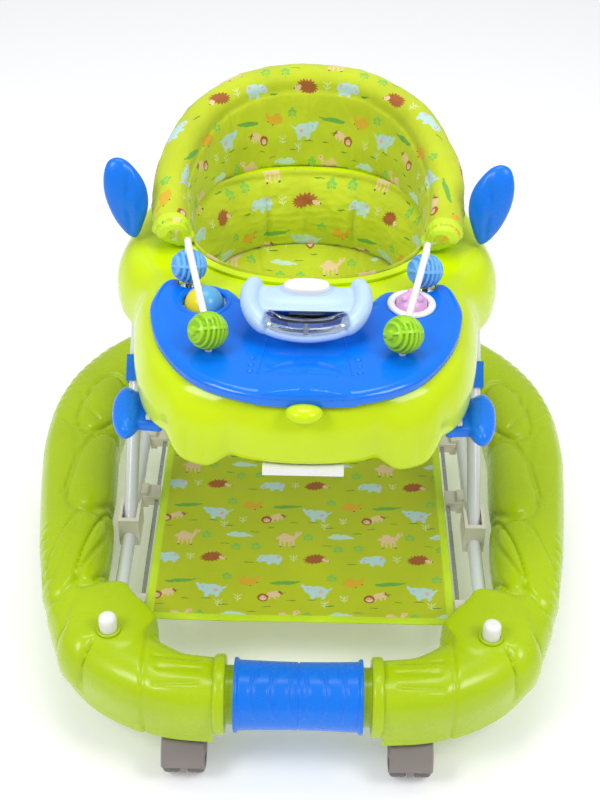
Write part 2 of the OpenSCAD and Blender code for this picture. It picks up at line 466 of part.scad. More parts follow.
base_shell(-1);  // base_shell_left
base_shell(1);  // base_shell_right
base_pan(-1);  // base_pan_left
base_pan(1);  // base_pan_right
front_bar();
front_sleeve();
rear_bar();
side_rails();
rail_front_brackets();
rail_rear_brackets();
mat_clips();
mat_side_rods();
foot_mat();
castor_hood(0, -1);  // castor_front_left_hood
castor_wheels(0, -1);  // castor_front_left_wheels
castor_hood(0, 1);  // castor_front_right_hood
castor_wheels(0, 1);  // castor_front_right_wheels
castor_hood(1, -1);  // castor_side_left_hood
castor_wheels(1, -1);  // castor_side_left_wheels
castor_hood(1, 1);  // castor_side_right_hood
castor_wheels(1, 1);  // castor_side_right_wheels
castor_hood(2, -1);  // castor_rear_left_hood
castor_wheels(2, -1);  // castor_rear_left_wheels
castor_hood(2, 1);  // castor_rear_right_hood
castor_wheels(2, 1);  // castor_rear_right_wheels
stopper(-1);  // stopper_left
stopper(1);  // stopper_right
stopper_foot(-1);  // stopper_foot_left
stopper_foot(1);  // stopper_foot_right
leg_inner();
leg_inner_rollers();
leg_outer();
cross_clamps();
leg_pins();
rail_sliders();
tray_shell();
tray_hinge_blocks();
tray_channels();
toy_panel();
ears();
latch(-1);  // latch_left
latch(1);  // latch_right
release_handle();
music_box();
steering_column();
steering_wheel();
steering_window();
horn_button();
arch_rods();
bead_feet();
bead_rear(-1);  // bead_rear_left
bead_rear(1);  // bead_rear_right
bead_front(-1);  // bead_front_left
bead_front(1);  // bead_front_right
ball();
dome();
dome_ring();
seat_ring();
seat_back();
seat_sling();
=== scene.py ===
# Baby walker: the looks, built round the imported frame. Lengths in the helpers are in millimetres.
import bpy, bmesh, math
import numpy as np
from mathutils import Vector, Matrix, noise as mnoise

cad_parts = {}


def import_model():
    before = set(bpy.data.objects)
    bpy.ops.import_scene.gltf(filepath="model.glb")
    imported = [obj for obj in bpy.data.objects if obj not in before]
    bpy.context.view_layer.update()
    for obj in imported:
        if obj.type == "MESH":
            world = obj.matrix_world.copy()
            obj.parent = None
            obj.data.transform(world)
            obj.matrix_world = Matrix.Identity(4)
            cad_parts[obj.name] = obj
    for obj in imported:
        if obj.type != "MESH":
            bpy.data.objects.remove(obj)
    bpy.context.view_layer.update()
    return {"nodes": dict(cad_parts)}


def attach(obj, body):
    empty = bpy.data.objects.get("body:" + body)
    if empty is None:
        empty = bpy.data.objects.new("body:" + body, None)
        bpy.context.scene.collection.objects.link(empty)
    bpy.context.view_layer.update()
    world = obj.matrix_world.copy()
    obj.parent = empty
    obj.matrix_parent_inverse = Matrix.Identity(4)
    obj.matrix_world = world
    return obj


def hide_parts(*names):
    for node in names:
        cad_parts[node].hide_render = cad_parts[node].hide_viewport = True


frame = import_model()
NODES = frame["nodes"]
SC = bpy.context.scene
rng = np.random.default_rng(7)

# ------------------------------------------------------------------ helpers
def lin(c):
    f = lambda v: ((v / 255 + 0.055) / 1.055) ** 2.4 if v > 10.3 else v / 255 / 12.92
    return (f(c[0]), f(c[1]), f(c[2]), 1.0)


class G:
    """A material and its node tree, with short calls for the nodes used here."""

    def __init__(s, name):
        s.m = bpy.data.materials.new(name)
        s.m.use_nodes = True
        s.t = s.m.node_tree
        s.b = s.t.nodes["Principled BSDF"]

    def n(s, typ, props=None, ins=None):
        nd = s.t.nodes.new(typ)
        for k, v in (props or {}).items():
            setattr(nd, k, v)
        for k, v in (ins or {}).items():
            s.put(nd.inputs[k], v)
        return nd

    def put(s, sock, v):
        if isinstance(v, bpy.types.NodeSocket):
            s.t.links.new(v, sock)
        else:
            sock.default_value = v

    def math(s, op, a, b=None, c=None, clamp=False):
        nd = s.n("ShaderNodeMath", {"operation": op, "use_clamp": clamp}, {0: a})
        if b is not None: s.put(nd.inputs[1], b)
        if c is not None: s.put(nd.inputs[2], c)
        return nd.outputs[0]

    def mix(s, f, a, b):
        nd = s.n("ShaderNodeMix", {"data_type": "RGBA"})
        s.put(nd.inputs[0], f); s.put(nd.inputs[6], a); s.put(nd.inputs[7], b)
        return nd.outputs[2]

    def noise(s, co, scale, detail=2.0, rough=0.5, w=None):
        nd = s.n("ShaderNodeTexNoise", {}, {"Vector": co, "Scale": scale, "Detail": detail, "Roughness": rough})
        return nd.outputs["Fac"]

    def maprange(s, v, a, b, c, d, smooth=False):
        nd = s.n("ShaderNodeMapRange", {"interpolation_type": "SMOOTHSTEP" if smooth else "LINEAR"},
                 {0: v, 1: a, 2: b, 3: c, 4: d})
        return nd.outputs[0]

    def bump(s, h, strength, dist, normal=None):
        nd = s.n("ShaderNodeBump", {}, {"Height": h, "Strength": strength, "Distance": dist})
        if normal is not None: s.put(nd.inputs["Normal"], normal)
        return nd.outputs[0]

    def set(s, **kw):
        names = {"rough": "Roughness", "ior": "IOR", "coat": "Coat Weight", "coat_rough": "Coat Roughness",
                 "sheen": "Sheen Weight", "sheen_rough": "Sheen Roughness", "metal": "Metallic",
                 "trans": "Transmission Weight", "sss": "Subsurface Weight", "normal": "Normal",
                 "color": "Base Color", "spec": "Specular IOR Level", "alpha": "Alpha"}
        for k, v in kw.items():
            s.put(s.b.inputs[names[k]], v)


def plastic(name, rgb, rough=0.2, var=0.05, orange=0.10, coat=0.0, sss=0.0, grain=0.0):
    """Moulded plastic: slight shade drift, a glossy skin with faint ripples and fine handling marks."""
    g = G(name)
    co = g.n("ShaderNodeTexCoord").outputs["Object"]
    a = lin(rgb)
    lo = tuple(v * (1 - var) for v in a[:3]) + (1,)
    hi = tuple(min(1, v * (1 + var)) for v in a[:3]) + (1,)
    n1 = g.noise(co, 9.0, 3.0)
    g.set(color=g.mix(g.maprange(n1, 0.3, 0.7, 0, 1), lo, hi))
    n2 = g.noise(co, 38.0, 4.0, 0.6)
    scr = g.n("ShaderNodeTexNoise", {}, {"Vector": g.n("ShaderNodeMapping", {}, {"Vector": co, "Scale": (60, 900, 220)}).outputs[0],
                                          "Scale": 1.0, "Detail": 1.0}).outputs["Fac"]
    r = g.math("ADD", g.maprange(n2, 0.3, 0.7, rough - 0.035, rough + 0.05), g.maprange(scr, 0.66, 0.8, 0, 0.06))
    g.set(rough=r)
    h = g.noise(co, 260.0, 2.0)
    nb = g.bump(h, orange, 0.0004)
    if grain:
        nb = g.bump(g.noise(co, 1900.0, 2.0), grain, 0.0003, nb)
    g.set(normal=nb, ior=1.46, spec=0.42)
    if coat: g.set(coat=coat, coat_rough=0.06)
    if sss:
        g.set(sss=sss)
        g.b.inputs["Subsurface Radius"].default_value = (1.0, 1.0, 0.35)
        g.b.inputs["Subsurface Scale"].default_value = 0.004
    return g.m


# colour group -> colour and ellipses (centre x, y, half width, half height, turn) in mm on a 122 x 130 tile
def _m(cx, cy, parts, flip=1):
    return [(cx + flip * p[0], cy + p[1], p[2], p[3], flip * p[4]) for p in parts]

TILE = (122.0, 130.0)
ELE = [(0, 0, 12, 8.2, 0), (-9.5, 3, 6.8, 6.2, 0), (-16, 6.5, 2.4, 5.2, 35), (-6, -8, 2.8, 4.4, 0), (6, -8, 2.8, 4.4, 0), (13.5, 3, 4.4, 1.2, 35)]
CAM = [(0, 0, 10.5, 6.2, 0), (-2, 5.0, 4.8, 4.4, 0), (11, 4, 2.3, 7, -28), (14.5, 9.5, 4.2, 2.6, 0),
       (-7, -8.5, 1.5, 6, 0), (-2.4, -8.5, 1.3, 6, 0), (3.4, -8.5, 1.3, 6, 0), (8, -8.5, 1.5, 6, 0), (-11, 1, 3, 1, 50)]
LIONB = [(11, 4, 8.6, 4.4, 22), (6, -1.6, 1.5, 4, 0), (12.5, -0.5, 1.5, 4, 0), (17, 1.5, 1.4, 4, 0)]
HIPPO = [(3, 0, 11, 7.2, 0), (-8, 0.6, 6.8, 5.6, 0), (-12.5, -1.8, 4.6, 3.8, 0), (-2, -6.8, 2.6, 3.2, 0), (9, -6.8, 2.6, 3.2, 0)]
CLOUD = [(0, 0, 14.5, 3.6, 0), (-4, 2.6, 6, 3.0, 0), (5, 2.2, 5, 2.4, 0), (13, -0.5, 5, 1.8, -12)]
CROC = [(0, 0, 14, 3.0, 4), (-12, -1.6, 6, 2.0, -8), (13, 1.5, 6, 1.2, 14)]
TREE = [(0, -1, 0.6, 6.0, 0), (0, 5.4, 2.4, 2.6, 0), (-3.6, 2.6, 2.4, 1.9, 25), (3.6, 2.6, 2.4, 1.9, -25), (-3.4, -1.6, 2.2, 1.6, 25), (3.4, -1.6, 2.2, 1.6, -25)]
SKT = [(0, 0, 0.55, 6.4, 0), (-2.9, 3.4, 0.55, 3.4, 40), (2.9, 3.4, 0.55, 3.4, -40), (-2.5, -1.6, 0.55, 3.0, 55), (2.5, -1.6, 0.55, 3.0, -55)]
GROUPS = [
    ((226, 176, 34), _m(60, 112, [(0, 0, 11, 5.6, 0), (-3, 4.6, 5, 4, 0), (11, 5, 2.4, 5, -25)])),
    ((190, 224, 226), _m(20, 99, ELE) + _m(86, 21, HIPPO)),
    ((198, 230, 214), _m(46, 60, CLOUD)),
    ((238, 204, 158), _m(104, 56, CAM) + _m(80, 90, LIONB)),
    ((104, 176, 66), _m(104, 112, CROC)),
    ((126, 200, 78), _m(36, 119, TREE) + _m(68, 40, TREE) + _m(44, 38, TREE) + _m(8, 58, TREE)),
    ((222, 238, 176), _m(50, 87, SKT) + _m(113, 22, SKT) + _m(28, 78, SKT)),
    ((92, 150, 34), [(34, 76, 6, 0.8, 4), (66, 66, 6, 0.7, -3), (60, 14, 6, 0.8, 2), (112, 84, 5, 0.7, 0), (84, 74, 5, 0.7, 5), (30, 45, 6, 0.7, -4), (14, 85, 6, 0.8, 0), (100, 96, 5, 0.7, 0)]),
    ((166, 80, 34), [(79, 88, 6.4, 6.4, 0), (99, 96, 1.2, 4.4, 40)]),
    ((240, 206, 164), [(79, 87, 3.9, 3.7, 0), (28.5, 20.5, 4.4, 3.0, -20)]),
    ((96, 52, 26), [(77.6, 88, 0.6, 0.6, 0), (80.6, 88, 0.6, 0.6, 0), (118.6, 65.8, 0.6, 0.6, 0), (30.5, 21.8, 0.6, 0.6, 0),
                    (33.2, 19.2, 0.8, 0.8, 0), (97, 42, 1.4, 1.0, 0), (112, 42, 1.4, 1.0, 0), (9, 103, 0.6, 0.6, 0), (75.5, 23, 0.6, 0.6, 0), (71.5, 111, 0.9, 0.9, 0), (64, 106, 1.2, 0.8, 0)]),
    ((236, 178, 170), [(73.4, 18.6, 1.6, 1.4, 0), (95, 24, 2.2, 2, 0), (24, 98, 2.6, 2.8, 0)]),
]


def print_group():
    """Node group: printed animals and plants, from a position in mm on the cloth. Gives the colour."""
    t = bpy.data.node_groups.new("animal_print", "ShaderNodeTree")
    t.interface.new_socket(name="Vector", in_out="INPUT", socket_type="NodeSocketVector")
    t.interface.new_socket(name="Ground", in_out="INPUT", socket_type="NodeSocketColor")
    t.interface.new_socket(name="Color", in_out="OUTPUT", socket_type="NodeSocketColor")
    gi, go = t.nodes.new("NodeGroupInput"), t.nodes.new("NodeGroupOutput")
    L = t.links.new

    def vm(op, *a):
        nd = t.nodes.new("ShaderNodeVectorMath"); nd.operation = op
        for i, v in enumerate(a):
            if isinstance(v, bpy.types.NodeSocket): L(v, nd.inputs[i])
            else: nd.inputs[i].default_value = v
        return nd

    def mt(op, a, b=None):
        nd = t.nodes.new("ShaderNodeMath"); nd.operation = op
        for i, v in enumerate((a, b)):
            if v is None: continue
            if isinstance(v, bpy.types.NodeSocket): L(v, nd.inputs[i])
            else: nd.inputs[i].default_value = v
        return nd.outputs[0]

    nz = t.nodes.new("ShaderNodeTexNoise"); L(gi.outputs[0], nz.inputs["Vector"])
    nz.inputs["Scale"].default_value = 0.22; nz.inputs["Detail"].default_value = 1.0
    off = vm("SUBTRACT", nz.outputs["Color"], (0.5, 0.5, 0.5)).outputs[0]
    sc = vm("MULTIPLY", off, (2.6, 2.6, 0.0)).outputs[0]
    flat = vm("MULTIPLY", gi.outputs[0], (1, 1, 0)).outputs[0]
    p = vm("ADD", flat, sc).outputs[0]
    w = vm("WRAP", p, (TILE[0], TILE[1], 1.0), (0, 0, -1.0)).outputs[0]
    col = gi.outputs[1]

    last = [None]

    def ell(e):
        mp = t.nodes.new("ShaderNodeMapping"); mp.vector_type = "TEXTURE"
        # each shape waits for the one before, which keeps the shader small
        src = w if last[0] is None else vm("MULTIPLY_ADD", last[0], (1e-9, 1e-9, 0.0), w).outputs[0]
        L(src, mp.inputs[0])
        mp.inputs["Location"].default_value = (e[0], e[1], 0)
        mp.inputs["Rotation"].default_value = (0, 0, math.radians(e[4]))
        mp.inputs["Scale"].default_value = (e[2], e[3], 1)
        return mp.outputs[0]

    def over(col, mask, rgb):
        mx = t.nodes.new("ShaderNodeMix"); mx.data_type = "RGBA"
        L(mask, mx.inputs[0]); L(col, mx.inputs[6]); mx.inputs[7].default_value = lin(rgb)
        return mx.outputs[2]

    def soft(d):
        mr = t.nodes.new("ShaderNodeMapRange"); mr.interpolation_type = "SMOOTHSTEP"
        L(d, mr.inputs[0])
        for i, v in ((1, 0.94), (2, 1.06), (3, 0.94), (4, 0.0)): mr.inputs[i].default_value = v
        return mr.outputs[0]

    # hedgehog: an ellipse with a spiky edge
    def hedgehog():
        e = ell((16, 22, 12.5, 7.4, 12))
        sp = t.nodes.new("ShaderNodeSeparateXYZ"); L(e, sp.inputs[0])
        saw = mt("SINE", mt("MULTIPLY", mt("ARCTAN2", sp.outputs[1], sp.outputs[0]), 17.0))
        return mt("ADD", vm("LENGTH", e).outputs["Value"], mt("MULTIPLY", saw, 0.14))

    for rgb, es in GROUPS:
        d = None
        for q in es:
            ln = vm("LENGTH", ell(q)).outputs["Value"]
            d = ln if d is None else mt("MINIMUM", d, ln)
            last[0] = d
        col = over(col, soft(d), rgb)
        if rgb == (166, 80, 34):
            last[0] = hedgehog()
            col = over(col, soft(last[0]), rgb)
    L(col, go.inputs[0])
    return t


PRINT = print_group()


def cloth_mat(name, ground, uv=True, weave=0.35, rough=0.72, sheen=0.25, patch=0.10, print_on=True, satin=False):
    """Woven cloth: plain weave bump at thread size, uneven dye, soft sheen, and the printed pattern."""
    g = G(name)
    tc = g.n("ShaderNodeTexCoord")
    obj = tc.outputs["Object"]
    if uv:
        u = g.n("ShaderNodeUVMap", {"uv_map": "print"}).outputs[0]
        mm = g.n("ShaderNodeVectorMath", {"operation": "SCALE"}, {0: u, "Scale": 1000.0}).outputs[0]
    else:
        mm = g.n("ShaderNodeVectorMath", {"operation": "SCALE"}, {0: obj, "Scale": 1000.0}).outputs[0]
    a = lin(ground)
    n1 = g.noise(obj, 16.0, 3.0)
    gr = g.mix(g.maprange(n1, 0.3, 0.7, 0, 1), tuple(v * (1 - patch) for v in a[:3]) + (1,),
               tuple(min(1, v * (1 + patch * 0.6)) for v in a[:3]) + (1,))
    if print_on:
        pg = g.n("ShaderNodeGroup", {"node_tree": PRINT}, {"Vector": mm, "Ground": gr})
        base = pg.outputs[0]
    else:
        base = gr
    # threads, 0.8 mm apart
    sx = g.n("ShaderNodeSeparateXYZ", {}, {0: mm})
    k = 2 * math.pi / 0.8
    wx = g.math("SINE", g.math("MULTIPLY", sx.outputs[0], k))
    wy = g.math("SINE", g.math("MULTIPLY", sx.outputs[1], k))
    wv = g.math("MULTIPLY", wx, wy)
    fib = g.noise(obj, 1400.0, 2.0)
    shade = g.math("ADD", g.maprange(wv, -1, 1, 0.93, 1.03), g.maprange(fib, 0.3, 0.7, -0.03, 0.03))
    fac = g.n("ShaderNodeCombineXYZ", {}, {0: shade, 1: shade, 2: shade}).outputs[0]
    mul = g.n("ShaderNodeMix", {"data_type": "RGBA", "blend_type": "MULTIPLY"})
    g.put(mul.inputs[0], 1.0); g.put(mul.inputs[6], base); g.put(mul.inputs[7], fac)
    g.set(color=mul.outputs[2])
    crease = g.noise(obj, 42.0, 4.0, 0.55)
    nb = g.bump(crease, 0.22 if not satin else 0.5, 0.004)
    nb = g.bump(wv, weave, 0.00025, nb)
    g.set(normal=nb, sheen=sheen, sheen_rough=0.4,
          rough=g.maprange(g.noise(obj, 30.0), 0.3, 0.7, rough - 0.05, rough + 0.06))
    return g.m


LIME = (200, 226, 12)
BLIME = (188, 216, 6)
BLUE = (16, 128, 246)
M_TRAY = plastic("tray_lime_plastic", (203, 229, 0), rough=0.17, sss=0.10, coat=0.1)
M_BASE = plastic("base_lime_plastic", (176, 204, 0), rough=0.25, sss=0.10, coat=0.1, orange=0.14)
M_BEADL = plastic("bead_lime_plastic", (160, 216, 40), rough=0.22)
M_BLUE = plastic("blue_plastic", (4, 118, 238), rough=0.16, coat=0.15)
M_BLUE2 = plastic("blue_satin_plastic", (10, 120, 236), rough=0.27)
M_PALE = plastic("pale_blue_plastic", (186, 212, 246), rough=0.24, sss=0.15)
M_SKY = plastic("sky_blue_plastic", (112, 184, 246), rough=0.24)
M_WHITE = plastic("white_plastic", (240, 238, 236), rough=0.27, var=0.02)
M_IVORY = plastic("ivory_plastic", (228, 222, 204), rough=0.42, var=0.04, grain=0.12, sss=0.1)
M_GREY = plastic("castor_grey_plastic", (138, 130, 126), rough=0.34, var=0.05, grain=0.1)
M_TYRE = plastic("castor_tread_plastic", (104, 98, 95), rough=0.5, var=0.06, grain=0.25)
M_TUBE = plastic("white_coated_tube", (226, 229, 229), rough=0.22, var=0.02, coat=0.4)
M_RUB = plastic("black_rubber", (52, 52, 54), rough=0.62, var=0.1, grain=0.3)
M_PINK = plastic("pink_plastic", (226, 172, 218), rough=0.28, sss=0.2)
# dark blue-grey standing in for the shade inside recesses: painted shade
M_RECESS_SHADE = plastic("painted_recess_shade_plastic", (40, 60, 90), rough=0.5)


def steel_mat():
    g = G("bright_steel")
    co = g.n("ShaderNodeTexCoord").outputs["Object"]
    st = g.n("ShaderNodeTexNoise", {}, {"Vector": g.n("ShaderNodeMapping", {}, {"Vector": co, "Scale": (40, 900, 900)}).outputs[0], "Scale": 1.0}).outputs["Fac"]
    g.set(color=lin((186, 188, 190)), metal=1.0, rough=g.maprange(st, 0.3, 0.7, 0.24, 0.4), normal=g.bump(st, 0.1, 0.0002))
    return g.m


def clear_mat():
    g = G("clear_window_plastic")
    co = g.n("ShaderNodeTexCoord").outputs["Object"]
    g.set(color=(0.93, 0.97, 1.0, 1), trans=1.0, ior=1.46, rough=g.maprange(g.noise(co, 60.0), 0.3, 0.7, 0.02, 0.07),
          normal=g.bump(g.noise(co, 120.0), 0.06, 0.0005))
    return g.m


def ball_mat():
    g = G("two_colour_ball_plastic")
    tc = g.n("ShaderNodeTexCoord")
    co = tc.outputs["Object"]
    sp = g.n("ShaderNodeSeparateXYZ", {}, {0: co})
    side = g.math("ADD", g.math("MULTIPLY", sp.outputs[0], 1.0), g.math("MULTIPLY", sp.outputs[1], -0.25))
    f = g.math("GREATER_THAN", side, -0.1055 + 0.0225)
    g.set(color=g.mix(f, lin((240, 222, 50)), lin((108, 178, 222))),
          rough=g.maprange(g.noise(co, 60.0), 0.3, 0.7, 0.18, 0.27), normal=g.bump(g.noise(co, 300.0), 0.08, 0.0003))
    return g.m


M_STEEL = steel_mat()
M_CLEAR = clear_mat()
M_BALL = ball_mat()
M_SEAT = cloth_mat("seat_print_cloth", (198, 214, 24), uv=True)
M_MAT = cloth_mat("mat_print_cloth", (192, 206, 12), uv=False, rough=0.5, sheen=0.1, weave=0.3, patch=0.05)
M_BIND = cloth_mat("binding_satin", (208, 240, 30), uv=False, print_on=False, rough=0.4, sheen=0.15, weave=0.15, satin=True)
M_BACKING = cloth_mat("seat_backing_cloth", (206, 222, 30), uv=False, print_on=False)


def cr(P, n, closed=False):
    P = np.asarray(P, float); m = len(P); out = []
    for i in range(m if closed else m - 1):
        if closed: a, b, c, d = P[(i - 1) % m], P[i], P[(i + 1) % m], P[(i + 2) % m]
        else: a, b, c, d = P[max(i - 1, 0)], P[i], P[i + 1], P[min(i + 2, m - 1)]
        for k in range(n):
            t = k / n
            out.append(0.5 * (2 * b + (c - a) * t + (2 * a - 5 * b + 4 * c - d) * t * t + (3 * b - a - 3 * c + d) * t ** 3))
    if not closed: out.append(P[-1])
    return np.array(out)


def resample(P, n, closed=False):
    P = np.asarray(P, float)
    Q = np.vstack([P, P[:1]]) if closed else P
    s = np.r_[0, np.cumsum(np.linalg.norm(np.diff(Q[:, :3], axis=0), axis=1))]
    t = np.linspace(0, s[-1], n + (1 if closed else 0))
    R_ = np.stack([np.interp(t, s, Q[:, k]) for k in range(Q.shape[1])], 1)
    return R_[:-1] if closed else R_


def spow(v, e): return np.sign(v) * np.abs(v) ** e


def sstep(x, a, b):
    t = np.clip((x - a) / (b - a), 0, 1); return t * t * (3 - 2 * t)


def obj(name, V, F, mat, body, rep=(), smooth=True, uv=None, slot=None, mats=None, fmat=None, merge=0.0):
    V = np.asarray(V, float) * 0.001
    me = bpy.data.meshes.new(name)
    me.from_pydata([tuple(v) for v in V], [], [tuple(int(i) for i in f) for f in F])
    me.validate()
    o = bpy.data.objects.new(name, me)
    SC.collection.objects.link(o)
    for m in (mats or [mat]): me.materials.append(m)
    if uv is not None:
        lay = me.uv_layers.new(name="print")
        idx = np.zeros(len(me.loops), int); me.loops.foreach_get("vertex_index", idx)
        lay.data.foreach_set("uv", (np.asarray(uv, float)[idx] * 0.001).ravel())
    if fmat is not None:
        me.polygons.foreach_set("material_index", np.asarray(fmat, int)[:len(me.polygons)])
    bm = bmesh.new(); bm.from_mesh(me)
    if merge: bmesh.ops.remove_doubles(bm, verts=bm.verts, dist=merge * 0.001)
    bmesh.ops.recalc_face_normals(bm, faces=bm.faces)
    bm.to_mesh(me); bm.free()
    me.polygons.foreach_set("use_smooth", [smooth] * len(me.polygons))
    if body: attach(o, body)
    if rep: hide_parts(*rep)
    return o


def grid_faces(m, n, wrap_m=False, wrap_n=True):
    F = []
    for i in range(m if wrap_m else m - 1):
        for k in range(n if wrap_n else n - 1):
            a, b = i * n + k, i * n + (k + 1) % n
            c, d = ((i + 1) % m) * n + (k + 1) % n, ((i + 1) % m) * n + k
            F.append((a, b, c, d))
    return F


def loft(rings, wrap=False, caps=True):
    R_ = np.asarray(rings, float); m, n = R_.shape[:2]
    V = R_.reshape(-1, 3); F = grid_faces(m, n, wrap)
    if not wrap and caps:
        c0, c1 = R_[0].mean(0), R_[-1].mean(0)
        V = np.vstack([V, c0, c1]); i0, i1 = m * n, m * n + 1
        F += [((k + 1) % n, k, i0) for k in range(n)] + [((m - 1) * n + k, (m - 1) * n + (k + 1) % n, i1) for k in range(n)]
    return V, F


def frames(P):
    P = np.asarray(P, float)
    T = np.gradient(P, axis=0); T /= np.linalg.norm(T, axis=1)[:, None]
    u = np.cross(T[0], [0.31, 0.2, 0.93]); u /= np.linalg.norm(u); U = [u]
    for i in range(1, len(P)):
        u = U[-1] - T[i] * np.dot(U[-1], T[i]); U.append(u / np.linalg.norm(u))
    U = np.array(U); return T, U, np.cross(T, U)


def tube(P, r, seg=16):
    P = np.asarray(P, float); T, U, W = frames(P)
    r = np.broadcast_to(np.asarray(r, float), (len(P),))
    a = np.linspace(0, 2 * math.pi, seg, endpoint=False)
    rings = P[:, None] + r[:, None, None] * (np.cos(a)[None, :, None] * U[:, None] + np.sin(a)[None, :, None] * W[:, None])
    return loft(rings)


def lathe(prof, seg=64):
    """prof: (r, z) pairs, closed onto itself; points with r=0 collapse on the axis."""
    prof = np.asarray(prof, float); a = np.linspace(0, 2 * math.pi, seg, endpoint=False)
    rings = np.stack([np.stack([r * np.cos(a), r * np.sin(a), np.full(seg, z)], 1) for r, z in prof])
    V = rings.reshape(-1, 3); F = grid_faces(len(prof), seg, wrap_m=False)
    F = [f for f in F]
    return V, F


def join(parts):
    V = []; F = []; o = 0
    for v, f in parts:
        V.append(np.asarray(v, float)); F += [tuple(i + o for i in q) for q in f]; o += len(v)
    return np.vstack(V), F


def xf(v, M):
    v = np.asarray(v, float); M = np.array(M); return v @ M[:3, :3].T + M[:3, 3]


def T3(x, y, z): return Matrix.Translation((x, y, z))
def Rx(a): return Matrix.Rotation(math.radians(a), 4, "X")
def Ry(a): return Matrix.Rotation(math.radians(a), 4, "Y")
def Rz(a): return Matrix.Rotation(math.radians(a), 4, "Z")


def sphere(c, r, seg=32, rings=20, M=None):
    """Ellipsoid as a closed quad ball."""
    th = np.linspace(0, math.pi, rings + 1); a = np.linspace(0, 2 * math.pi, seg, endpoint=False)
    r = np.broadcast_to(np.asarray(r, float), (3,))
    P = np.stack([np.stack([np.sin(t) * np.cos(a), np.sin(t) * np.sin(a), np.full(seg, np.cos(t))], 1) for t in th])
    P[0] *= [1e-3, 1e-3, 1]; P[0, :, :2] = P[1, :, :2] * 1e-3; P[-1, :, :2] = P[-2, :, :2] * 1e-3
    V, F = loft(P * r)
    if M is not None: V = xf(V, M)
    return V + np.asarray(c, float), F


def box(lo, hi):
    (a, b, c), (d, e, f) = lo, hi
    V = [(a, b, c), (d, b, c), (d, e, c), (a, e, c), (a, b, f), (d, b, f), (d, e, f), (a, e, f)]
    return np.array(V, float), [(3, 2, 1, 0), (4, 5, 6, 7), (0, 1, 5, 4), (1, 2, 6, 5), (2, 3, 7, 6), (3, 0, 4, 7)]


def apply_mods(o):
    bpy.context.view_layer.update()
    dg = bpy.context.evaluated_depsgraph_get()
    me = bpy.data.meshes.new_from_object(o.evaluated_get(dg), preserve_all_data_layers=True, depsgraph=dg)
    old = o.data; o.modifiers.clear(); o.data = me; me.name = old.name
    return o


def mod(o, typ, **kw):
    m = o.modifiers.new(typ.lower(), typ)
    for k, v in kw.items(): setattr(m, k, v)
    return m


def voxel(o, size, smooth=4, sub=0, fac=0.5):
    """Melts overlapping solids into one smooth body."""
    mod(o, "REMESH", mode="VOXEL", voxel_size=size * 0.001, use_smooth_shade=True)
    if smooth: mod(o, "SMOOTH", iterations=smooth, factor=fac)
    apply_mods(o)
    o.data.polygons.foreach_set("use_smooth", [True] * len(o.data.polygons))
    return o


def bevel(o, w, seg=3, ang=35):
    mod(o, "BEVEL", width=w * 0.001, segments=seg, limit_method="ANGLE", angle_limit=math.radians(ang))
    return apply_mods(o)


def shade_auto(o, ang=35):
    """Smooth shading with sharp edges kept past an angle."""
    me = o.data
    bm = bmesh.new(); bm.from_mesh(me)
    for e in bm.edges:
        e.smooth = not (len(e.link_faces) == 2 and e.calc_face_angle(0) > math.radians(ang))
    for f in bm.faces: f.smooth = True
    bm.to_mesh(me); bm.free()
    return o

# ------------------------------------------------------------------ camera, light, floor
cam_d = bpy.data.cameras.new("cam"); cam = bpy.data.objects.new("cam", cam_d); SC.collection.objects.link(cam)
cam_d.sensor_width = 36; cam_d.sensor_fit = "AUTO"; cam_d.lens = 1400 / 800 * 36
f = Vector((-4.4 / 1400, 0.788, -0.616)).normalized()
r0 = f.cross(Vector((0, 0, 1))).normalized(); u0 = r0.cross(f)
rho = math.radians(1.03)
rr = r0 * math.cos(rho) + u0 * math.sin(rho); uu = u0 * math.cos(rho) - r0 * math.sin(rho)
cam.matrix_world = Matrix.Translation((0, -1.296, 1.262)) @ Matrix((
    (rr.x, uu.x, -f.x, 0), (rr.y, uu.y, -f.y, 0), (rr.z, uu.z, -f.z, 0), (0, 0, 0, 1)))
SC.camera = cam
cam_d.clip_end = 50
SC.view_settings.view_transform = "Standard"

w = bpy.data.worlds.new("studio"); SC.world = w; w.use_nodes = True
w.node_tree.nodes["Background"].inputs[0].default_value = (0.95, 0.97, 1.0, 1)
w.node_tree.nodes["Background"].inputs[1].default_value = 0.50


def area(name, loc, target, size, power, col=(1, 1, 1)):
    d = bpy.data.lights.new(name, "AREA"); d.shape = "RECTANGLE"; d.size, d.size_y = size; d.energy = power; d.color = col
    o = bpy.data.objects.new(name, d); SC.collection.objects.link(o); o.location = loc
    o.rotation_euler = (Vector(target) - Vector(loc)).to_track_quat("-Z", "Y").to_euler(); return o


area("key_left", (-1.5, -1.2, 2.2), (0, 0, 0.3), (0.9, 0.9), 24)
area("key_right", (1.5, -1.0, 2.2), (0, 0, 0.3), (0.9, 0.9), 21)
area("top_soft", (0, 0.4, 2.6), (0, 0, 0.3), (1.4, 1.0), 20)

fl = bpy.data.meshes.new("floor")
fl.from_pydata([(-6, -6, 0), (6, -6, 0), (6, 6, 0), (-6, 6, 0)], [], [(0, 1, 2, 3)])
floor = bpy.data.objects.new("floor", fl); SC.collection.objects.link(floor)
gf = G("floor_white"); gf.set(color=(0.9, 0.9, 0.9, 1), rough=0.8); gf.b.inputs["Emission Color"].default_value = (1, 1, 1, 1); gf.b.inputs["Emission Strength"].default_value = 0.22; fl.materials.append(gf.m)

# ------------------------------------------------------------------ base ring shells
ROWS = [[89.5, -358, 76, 76], [140, -353, 78, 77], [185, -337, 84, 79], [226, -311, 88, 80], [258, -275, 88, 80],
        [276, -240, 82, 80], [291, -185, 72, 80], [305, -118, 80, 80], [317, -50, 88, 80], [327, 20, 92, 80],
        [331, 75, 94, 80], [327, 135, 92, 80], [311, 200, 86, 80], [281, 258, 82, 80], [240, 304, 82, 80],
        [190, 338, 80, 79], [140, 355, 78, 77], [89.5, 358, 76, 76]]


